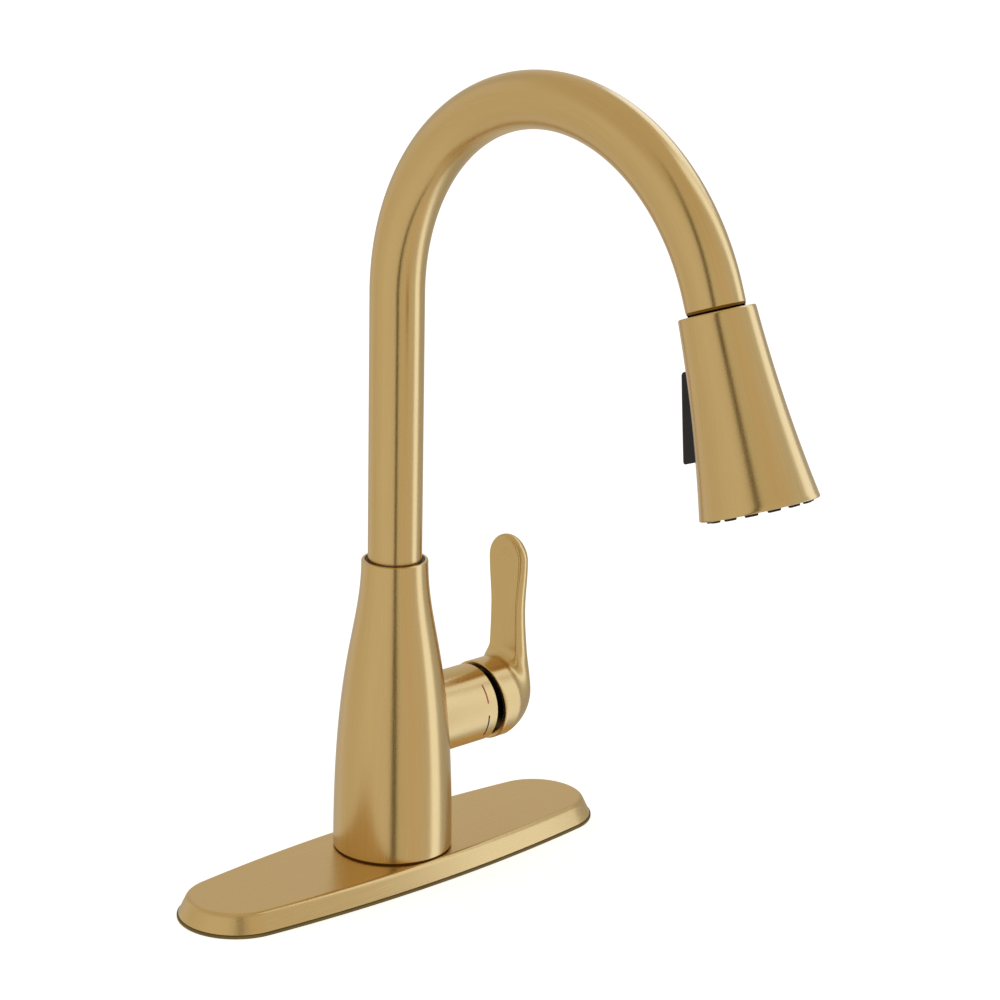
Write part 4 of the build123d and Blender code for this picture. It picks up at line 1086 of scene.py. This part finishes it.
def lever_fan(sizes, section, around, steps=56):
    """Rows of the lever's dome, which fan out about the foot's centre.

    A row at turn a has its inner edge on the foot's arc and its outer edge on the dome's profile. It changes
    from a circle to the paddle's section as a goes from straight down to level.
    """
    pivot, rim = foot_centre(sizes), sizes.rim_radius
    circle = np.stack([(1 - np.cos(around)) / 2, -np.sin(around)], 1)
    share = np.linspace(0, 1, steps)
    turn = (share - 1) * QUARTER
    inside = sizes.paddle_foot - sizes.paddle_sink * (1 - share) ** 2
    reach = np.interp(turn, *lever_profile(sizes))
    half = rim + (paddle_half(sizes, pivot[1]) - rim) * np.sin(share * QUARTER) ** WIDTH_EASE
    change = smooth(share)[:, None, None]
    shape = circle * (1 - change) + section * change
    depth = inside[:, None] + (reach - inside)[:, None] * shape[..., 0]
    x = pivot[0] + depth * np.cos(turn)[:, None]
    z = pivot[1] + depth * np.sin(turn)[:, None]
    return np.stack([x, half[:, None] * shape[..., 1], z], -1)


def lever_paddle(sizes, section, steps=40, top_steps=24):
    """Rows of the lever's paddle: level sections, and a top of half ellipses, one for each point."""
    shoulder = sizes.shoulder_height
    height = np.linspace(foot_centre(sizes)[1], shoulder, steps)[1:, None]
    depth = sizes.paddle_face + paddle_thickness(sizes, height) * section[:, 0]
    side = paddle_half(sizes, height) * section[:, 1]
    blade = np.stack([depth, side, np.broadcast_to(height, side.shape)], -1)
    climb = np.linspace(0, QUARTER, top_steps)[1:, None]
    tall = sizes.top_height - shoulder - sizes.top_half + np.abs(side[-1])
    rise = shoulder + tall * np.sin(climb)
    tip = np.stack([np.broadcast_to(depth[-1], rise.shape), side[-1] * np.cos(climb), rise], -1)
    return np.concatenate([blade, tip])


def lever_grid(sizes):
    """Lever as one skin: a hollow round rim, a dome whose sections fan out, and a paddle."""
    section = paddle_section(sizes)
    around = even_turns(len(section))
    rows = [lever_rim(sizes, around), lever_fan(sizes, section, around), lever_paddle(sizes, section)]
    return np.concatenate(rows)


def plug_grid(sizes, turns=40):
    """Plug over the set screw: a low round cap turned about Y, at the lever's far side."""
    profile = np.array(PLUG_PROFILE) * [sizes.plug_radius, 1]
    x = (low("handle_plug", 0) + high("handle_plug", 0)) / 2
    return turned(profile, np.array([x, sizes.rim_radius, hub_z]), -FORWARD, RIGHT, turns)


def head_curve(sizes, inset, s):
    """Radius of the spray head's flare at s below its top, moved in by inset: a Bezier of three radii."""
    t = s / sizes.head_length
    flare = (1 - t) ** 2 * sizes.top_radius + 2 * t * (1 - t) * sizes.mid_radius + t**2 * sizes.rim_radius
    return flare - inset


def window_loop(rows, columns, window):
    """Point numbers round a window of so many columns: its first row, far side, last row and near side."""
    across = np.arange(window)
    first, last = rows[0] * columns + across, rows[-1] * columns + across[-2::-1]
    return np.concatenate([first, rows[1:] * columns + window - 1, last, rows[-2::-1] * columns])


def head_grid(sizes, round_steps=7, row_steps=(10, 22, 14), window=13, others=116):
    """Shell of the spray head with the button's window, as (points, faces that stay, faces of its edge).

    The rows go down the outside, round the rim and up the inside to the top. The columns lie so that two of
    them keep x at plus and minus the window's half width, so the window's faces can be left out and its edge
    walled.
    """
    total, wall, roof = sizes.head_length, sizes.head_wall, sizes.top_wall
    soft, rim, core = sizes.top_round, sizes.rim_round, sizes.core_hole
    ends = (sizes.window_start, sizes.window_end)
    above, beside, below = row_steps
    outer_s = np.concatenate(
        [
            np.linspace(soft, ends[0], above)[1:-1],
            np.linspace(*ends, beside),
            np.linspace(ends[1], total - rim, below)[1:-1],
        ]
    )
    inner_s = outer_s[outer_s > roof][::-1]
    top, bottom = head_curve(sizes, 0, soft), head_curve(sizes, 0, total - rim)
    a = np.linspace(0, QUARTER, round_steps)
    hole = [(core, roof), (core, CORE_BEVEL), (core + CORE_BEVEL, 0.0), (core + CORE_LAND, 0.0)]
    upper = np.stack([top - soft + soft * np.sin(a), soft - soft * np.cos(a)], 1)
    outside = np.stack([head_curve(sizes, 0, outer_s), outer_s], 1)
    lower = np.stack([bottom - rim + rim * np.cos(a), total - rim + rim * np.sin(a)], 1)
    inner_rim = [(bottom - wall + rim / 2, total), (bottom - wall, total - rim / 2)]
    inside = np.stack([head_curve(sizes, wall, inner_s), inner_s], 1)
    before = np.concatenate([hole, [(top - TOP_FLAT * soft, 0.0)], upper])
    after = np.concatenate([before, outside, lower, inner_rim])
    profile = np.concatenate([after, inside, [(inside[-1, 0], roof)]])

    edge = np.arcsin(np.clip(sizes.window_half / profile[:, 0], 0, 1))[:, None]
    near = edge * np.linspace(-1, 1, window)
    far = edge + (FULL_TURN - 2 * edge) * np.linspace(0, 1, others + 2)[1:-1]
    ring = on_circle(np.concatenate([near, far], 1)) @ np.stack([head_back, RIGHT])
    points = head_top + profile[:, 1, None, None] * spray_dir + profile[:, 0, None, None] * ring

    first, last = (len(before) + np.argmin(np.abs(outer_s - end)) for end in ends)
    inner_first, inner_last = (len(after) + np.argmin(np.abs(inner_s - end)) for end in ends)
    keep = np.ones(points.shape[:2], bool)
    keep[first:last, : window - 1] = False
    keep[inner_last:inner_first, : window - 1] = False
    columns = points.shape[1]
    outer_loop = window_loop(np.arange(first, last + 1), columns, window)
    inner_loop = window_loop(np.arange(inner_first, inner_last - 1, -1), columns, window)
    return points, keep, np.stack([outer_loop[:-1], outer_loop[1:], inner_loop[1:], inner_loop[:-1]], 1)


def button_grid(sizes, round_steps=9, steps=24, width_steps=41):
    """Rocker button: at each s a closed section whose top is an arc about the head's axis.

    The top's height is sqrt(R(s)^2 - x^2), less a quarter round near every edge, and the sides go down to
    the skirt.
    """
    half, soft = sizes.button_half, sizes.button_round
    start, end = sizes.button_start, sizes.button_end
    edge = soft * (1 - np.cos(np.linspace(0, QUARTER, round_steps)))
    s = np.concatenate([start + edge, np.linspace(start + soft, end - soft, steps)[1:-1], end - edge[::-1]])
    x = half * np.sin(np.linspace(-QUARTER, QUARTER, width_steps))

    def drop(distance):
        """Depth of a quarter round at a distance from an edge."""
        left = np.clip(soft - distance, 0, soft)
        return soft - np.sqrt(soft**2 - left**2)

    radius = sizes.button_top + (sizes.button_bottom - sizes.button_top) * (s - start) / (end - start)
    crown = np.sqrt(radius[:, None] ** 2 - x**2) - drop(half - np.abs(x))
    crown -= drop(np.minimum(s - start, end - s))[:, None]
    heights = np.pad(crown, ((0, 0), (1, 1)), constant_values=sizes.button_skirt)
    x = np.pad(x, 1, mode="edge")
    points = head_top + s[:, None, None] * spray_dir + x[:, None] * RIGHT + heights[..., None] * head_back
    ends = np.broadcast_to(points.mean(1, keepdims=True), points.shape)
    return np.concatenate([ends[:1], points, ends[-1:]])


def jet_grids(sizes, turns=32):
    """Ring of soft oval rim jets with domed, dimpled tips, as one grid for each jet.

    Each height of a jet's profile is an oval: a circle whose two halves are moved apart along the ring,
    shrunk towards the line between the halves' middles. Every jet is the same grid on its own radial and
    ring directions.
    """
    tall = sizes.head_length + sizes.jet_rise - sizes.face_place
    half = sizes.jet_width / 2
    share, depth = np.array([(0.0, 0.0), (1.0, 0.0), *JET_TIP]).T
    height = tall - depth * half
    height[:2] = -JET_ROOT
    a = even_turns(turns, 0.5)
    outward = share[:, None] * half * np.cos(a)
    along = share[:, None] * half * np.sin(a) + (sizes.jet_length / 2 - half) * np.sign(np.sin(a))
    turn = (sizes.jet_start + even_turns(sizes.jet_count))[:, None, None, None]
    third = np.cross(spray_dir, RIGHT)
    radial = np.cos(turn) * RIGHT + np.sin(turn) * third
    ringward = np.cos(turn) * third - np.sin(turn) * RIGHT
    middle = head_top + (sizes.face_place + height)[:, None, None] * spray_dir
    return middle + (sizes.jet_circle + outward)[..., None] * radial + along[..., None] * ringward


def shank_grid(sizes, turns=96):
    """Threaded shank with a plain pilot, a collar, a head and a bore.

    The thread is r = radius - depth * a triangle wave of (z - pitch * turn), and runs out at both its ends.
    """
    bottom, top, seat = low("mounting_shank", 2), high("mounting_shank", 2), low("body_shell", 2)
    thread, pilot, bore = sizes.thread_radius, sizes.pilot_radius, sizes.shank_bore
    neck = -sizes.pilot_length
    z = np.arange(bottom, neck - THREAD_GAP, sizes.thread_pitch / THREAD_STEPS)
    turn = even_turns(turns)
    wave = np.abs(2 * ((z[:, None] / sizes.thread_pitch - turn / FULL_TURN) % 1) - 1)
    fade = np.clip((neck - THREAD_GAP - z) / THREAD_FADE, 0, 1)
    lead = np.clip((z - bottom) / THREAD_LEAD + THREAD_START, 0, 1)
    radius = thread - sizes.thread_depth * wave * (fade * lead)[:, None]
    collar, head = sizes.plate_hole - COLLAR_PLAY, sizes.base_bore - HEAD_PLAY
    profile = [
        (thread, neck), (pilot, neck), (pilot, 0.0), (collar, 0.0), (collar, seat),
        (head, seat), (head, top), (bore, top), (bore, bottom),
    ]
    threaded = lifted(radius[..., None] * on_circle(turn), z)
    return np.concatenate([threaded, turned(np.array(profile), np.zeros(3), UP, RIGHT, turns)])


def nut_grid(sizes, turns=120, bevel_steps=8, side_steps=4):
    """Hexagon nut: distance to six flats by turn, cut by a cone of 30 degrees at both ends, round a bore."""
    bottom, tall = low("mounting_nut", 2), span("mounting_nut", 2)
    turn = even_turns(turns, 0.5)
    sixth = FULL_TURN / 6
    flats = sizes.nut_flats / 2 / np.cos((turn + sixth / 2) % sixth - sixth / 2)
    bevel = np.linspace(0, NUT_BEVEL_HEIGHT, bevel_steps)
    side = np.linspace(NUT_BEVEL_HEIGHT, tall - NUT_BEVEL_HEIGHT, side_steps)[1:-1]
    heights = np.concatenate([bevel, side, tall - bevel[::-1]])
    cone = sizes.nut_flats / 2 - NUT_BEVEL + np.minimum(heights, tall - heights) / math.tan(NUT_CONE)
    outside = np.minimum(flats, cone[:, None])
    bore = sizes.pilot_radius + NUT_PLAY
    mouth = bore + NUT_MOUTH
    inside = np.broadcast_to(np.array([mouth, bore, bore, mouth])[:, None], (4, turns))
    heights = np.concatenate([heights, [tall, tall - NUT_MOUTH, NUT_MOUTH, 0.0]])
    return lifted(np.concatenate([outside, inside])[..., None] * on_circle(turn), bottom + heights)


def hose_run_grid(sizes, steps=90, turns=40):
    """Short end of the hose in the dock: a tube of many rings."""
    start = spout_line(sizes)[0][-TAIL_STEPS - 1]
    end = head_top - spray_dir * HOSE_STOP
    line = start + (end - start) * np.linspace(0, 1, steps)[:, None]
    return tube_rows(line, np.tile(spray_dir, (steps, 1)), np.full(steps, sizes.hose_radius), turns)


# Stage

def add_sheet(name, corners, looks):
    """Flat four cornered piece of the stage, with a plain finish from the shader's inputs."""
    mesh = bpy.data.meshes.new(name)
    mesh.from_pydata(corners, [], [(0, 1, 2, 3)])
    sheet = bpy.data.objects.new(name, mesh)
    bpy.context.scene.collection.objects.link(sheet)
    material, tree, shader = new_material(name)
    connect(tree, shader, {"Specular IOR Level": 0.0, **looks})
    mesh.materials.append(material)
    return sheet


def add_floor(values):
    """Pale floor at the deck's height. It isn't seen in the metal, which shows only the studio's light."""
    side = values.floor_size
    looks = {
        "Base Color": toned(values.floor_colour),
        "Roughness": FLOOR_ROUGHNESS,
        "Emission Color": (1.0, 1.0, 1.0, 1.0),
        "Emission Strength": values.floor_glow,
    }
    corners = [(-side, -side, 0), (side, -side, 0), (side, side, 0), (-side, side, 0)]
    floor = add_sheet("studio_floor", corners, looks)
    floor.visible_glossy = False


def add_card(values, name, turn, distance, half_width, bottom, top, shade):
    """Upright glowing card in a compass direction from behind the camera, square to that direction."""
    turn = math.radians(turn)
    ahead = np.array([math.sin(values.camera_turn), math.cos(values.camera_turn)])
    right = np.array([ahead[1], -ahead[0]])
    middle = distance * (math.sin(turn) * right - math.cos(turn) * ahead)
    side = half_width * (math.cos(turn) * right + math.sin(turn) * ahead)
    near, far = middle - side, middle + side
    looks = {"Base Color": (0.0, 0.0, 0.0, 1.0), "Emission Color": toned(shade), "Emission Strength": 1.0}
    card = add_sheet(name, [(*near, bottom), (*far, bottom), (*far, top), (*near, top)], looks)
    card.visible_camera = False
    card.visible_diffuse = False
    card.visible_shadow = False


def add_light(scene, values):
    """Soft studio all round: a ring of panels by compass direction, which fades into even light overhead."""
    world = bpy.data.worlds.new("studio_light")
    scene.world = world
    world.use_nodes = True
    tree = world.node_tree
    tree.nodes.clear()
    way = add_node(tree, "TexCoord").outputs["Generated"]
    spin = {"Vector": way, "Angle": values.camera_turn}
    level = add_node(tree, "VectorRotate", spin, rotation_type="Z_AXIS")
    x, y, z = add_node(tree, "SeparateXYZ", {"Vector": level.outputs[0]}).outputs
    turn = maths(tree, "ARCTAN2", x, maths(tree, "MULTIPLY", y, -1.0))
    ring = add_node(tree, "ValToRGB", {"Fac": ranged(tree, turn, -math.pi, math.pi)})
    stops = ring.color_ramp.elements
    for k, (degrees, shade) in enumerate(STUDIO_RING):
        place_on_ring = (degrees + 180) / 360
        stop = stops[k] if k < len(stops) else stops.new(place_on_ring)
        stop.position = place_on_ring
        stop.color = toned(shade)
    overhead = ranged(tree, z, *OVERHEAD, interpolation_type="SMOOTHSTEP")
    sky = mixed(tree, overhead, ring.outputs["Color"], toned(TOP_LIGHT))
    studio = add_node(tree, "Background", {"Color": sky, "Strength": 1.0})
    backdrop = add_node(tree, "Background", {"Color": toned(values.backdrop), "Strength": 1.0})
    seen = add_node(tree, "LightPath").outputs["Is Camera Ray"]
    joined = add_node(tree, "MixShader", {0: seen, 1: studio.outputs[0], 2: backdrop.outputs[0]})
    add_node(tree, "OutputWorld", {"Surface": joined.outputs[0]})


def add_camera(scene, values):
    """Camera from its place, turn, tilt and roll, with its three axes worked out as vectors."""
    turn, tilt, roll = values.camera_turn, values.camera_tilt, values.camera_roll
    ahead = np.array([math.sin(turn) * math.cos(tilt), math.cos(turn) * math.cos(tilt), -math.sin(tilt)])
    right = np.array([math.cos(turn), -math.sin(turn), 0.0])
    up = np.cross(right, ahead)
    leaned = math.cos(roll) * right + math.sin(roll) * up
    upright = math.cos(roll) * up - math.sin(roll) * right
    lens = bpy.data.cameras.new("photo_camera")
    lens.lens = values.camera_lens
    lens.sensor_width = SENSOR_WIDTH
    camera = bpy.data.objects.new("photo_camera", lens)
    scene.collection.objects.link(camera)
    axes = Matrix(np.stack([leaned, upright, -ahead], 1).tolist()).to_4x4()
    camera.matrix_world = Matrix.Translation(values.camera_place) @ axes
    scene.camera = camera


# Operators

class FAUCET_OT_stage(bpy.types.Operator):
    """Floor, light, cards and camera"""

    bl_idname = "faucet.stage"
    bl_label = "Stage"

    def execute(self, context):
        values = context.scene.faucet_stage
        add_floor(values)
        add_light(context.scene, values)
        for card in STUDIO_CARDS:
            add_card(values, *card)
        add_camera(context.scene, values)
        context.scene.view_settings.view_transform = "Standard"
        return {"FINISHED"}


class FAUCET_OT_body(bpy.types.Operator):
    """Body: a brushed bottle with a rounded lip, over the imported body"""

    bl_idname = "faucet.body"
    bl_label = "Body"

    def execute(self, context):
        points = body_grid(context.scene.faucet_base)
        place(surface("body_bottle", points, wrap_rows=True), "body_shell", "base")
        return {"FINISHED"}


class FAUCET_OT_deck(bpy.types.Operator):
    """Deck plate and the gasket under its edge"""

    bl_idname = "faucet.deck"
    bl_label = "Deck plate and gasket"

    def execute(self, context):
        sizes = context.scene.faucet_base
        points = deck_plate_grid(sizes)
        place(surface("deck_stamping", points, wrap_rows=True, uv=plan_uv(points)), "deck_plate", "base")
        place(surface("gasket_band", gasket_grid(sizes), wrap_rows=True), "deck_gasket", "base")
        return {"FINISHED"}


class FAUCET_OT_spout(bpy.types.Operator):
    """Spout: one bent tube with a rounded outlet"""

    bl_idname = "faucet.spout"
    bl_label = "Spout"

    def execute(self, context):
        points = spout_grid(context.scene.faucet_spout)
        place(surface("spout_pipe", points, wrap_rows=True), "spout_tube", "spout")
        return {"FINISHED"}


class FAUCET_OT_sleeve(bpy.types.Operator):
    """Valve sleeve with the hot and cold marks, and the dark collar inside it"""

    bl_idname = "faucet.sleeve"
    bl_label = "Valve sleeve and marks"

    def execute(self, context):
        sizes = context.scene.faucet_valve
        points = sleeve_grid(context.scene.faucet_base, sizes)
        place(surface("sleeve_cover", points, wrap_rows=True), "valve_sleeve", "base")
        place(surface("valve_bonnet", bonnet_grid(sizes), wrap_rows=True), None, "base", "black_plastic")
        marks = {"hot": (sizes.hot_start, sizes.hot_sweep), "cold": (sizes.cold_start, sizes.cold_sweep)}
        for name, (start, sweep) in marks.items():
            place(surface(f"{name}_dash", mark_grid(sizes, start, sweep)), f"{name}_mark", "base")
        return {"FINISHED"}


class FAUCET_OT_lever(bpy.types.Operator):
    """Lever: rim, dome and paddle in one skin, with the plug over its set screw"""

    bl_idname = "faucet.lever"
    bl_label = "Lever"

    def execute(self, context):
        sizes = context.scene.faucet_valve
        lever = surface("lever_handle", lever_grid(sizes))
        points = np.empty(3 * len(lever.vertices))
        lever.vertices.foreach_get("co", points)
        x, y, z = points.reshape(-1, 3).T
        # Points in the lever's hollow get the hollow attribute 1, where the gold is painted dark as shade
        reach = sizes.rim_radius - sizes.rim_wall + SLACK
        inside = (np.hypot(y, z - hub_z) < reach) & (x < sizes.cavity_end + SLACK)
        lever.attributes.new("hollow", "FLOAT", "POINT").data.foreach_set("value", inside.astype(np.float32))
        place(lever, "handle_lever", "lever")
        place(surface("screw_plug", plug_grid(sizes)), "handle_plug", "lever")
        return {"FINISHED"}


class FAUCET_OT_head(bpy.types.Operator):
    """Spray head: its flared shell, rocker button and rim jets"""

    bl_idname = "faucet.head"
    bl_label = "Spray head"

    def execute(self, context):
        sizes = context.scene.faucet_head
        points, keep, walls = head_grid(sizes)
        shell = surface("spray_casing", points, wrap_rows=True, keep=keep, extra=walls)
        place(shell, "spray_shell", "spray_head")
        place(surface("rocker_button", button_grid(sizes)), "spray_button", "spray_button")
        place(repeated("rim_jet_studs", jet_grids(sizes)), "rim_jets", "spray_head")
        return {"FINISHED"}


class FAUCET_OT_hose(bpy.types.Operator):
    """End of the spray hose, in the spout's end"""

    bl_idname = "faucet.hose"
    bl_label = "Hose end"

    def execute(self, context):
        points = hose_run_grid(context.scene.faucet_spout)
        run = place(surface("hose_draw", points), "hose_run")
        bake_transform(run)
        return {"FINISHED"}


class FAUCET_OT_under_deck(bpy.types.Operator):
    """Threaded shank and hexagon nut below the deck"""

    bl_idname = "faucet.under_deck"
    bl_label = "Shank and nut"

    def execute(self, context):
        sizes = context.scene.faucet_base
        place(surface("threaded_shank", shank_grid(sizes), wrap_rows=True), "mounting_shank", "base")
        place(surface("hexagon_nut", nut_grid(sizes), wrap_rows=True), "mounting_nut", "mounting_nut")
        return {"FINISHED"}


class FAUCET_OT_inner_parts(bpy.types.Operator):
    """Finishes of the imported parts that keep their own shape"""

    bl_idname = "faucet.inner_parts"
    bl_label = "Inner parts"

    def execute(self, context):
        for name, part in frame["nodes"].items():
            # The seal and the collar take the seams' painted shade in place of their slot's finish
            material = finish_for(seam_shade_finish.get(name, slot_of[name]))
            if part.material_slots:
                part.material_slots[0].material = material
            else:
                part.data.materials.append(material)
        return {"FINISHED"}


OPERATORS = (
    FAUCET_OT_stage,
    FAUCET_OT_body,
    FAUCET_OT_deck,
    FAUCET_OT_spout,
    FAUCET_OT_sleeve,
    FAUCET_OT_lever,
    FAUCET_OT_head,
    FAUCET_OT_hose,
    FAUCET_OT_under_deck,
    FAUCET_OT_inner_parts,
)


class FAUCET_PT_panel(bpy.types.Panel):
    """Sidebar panel with the faucet's pieces and sizes"""

    bl_idname = "FAUCET_PT_panel"
    bl_label = "Faucet"
    bl_space_type = "VIEW_3D"
    bl_region_type = "UI"
    bl_category = "Faucet"

    def draw(self, context):
        for operator in OPERATORS:
            self.layout.operator(operator.bl_idname)
        for name in PROPERTY_GROUPS:
            group = getattr(context.scene, name)
            box = self.layout.box()
            for key in group.__annotations__:
                box.prop(group, key)


def register():
    """Registers the classes and hangs the sizes on the scene."""
    for name, group in PROPERTY_GROUPS.items():
        bpy.utils.register_class(group)
        setattr(bpy.types.Scene, name, PointerProperty(type=group))
    for item in (*OPERATORS, FAUCET_PT_panel):
        bpy.utils.register_class(item)


def unregister():
    """Takes back what register does."""
    for item in (FAUCET_PT_panel, *reversed(OPERATORS)):
        bpy.utils.unregister_class(item)
    for name, group in PROPERTY_GROUPS.items():
        delattr(bpy.types.Scene, name)
        bpy.utils.unregister_class(group)


def main():
    """Builds every piece in order."""
    register()
    for operator in OPERATORS:
        family, verb = operator.bl_idname.split(".")
        getattr(getattr(bpy.ops, family), verb)()


if __name__ == "__main__":
    main()
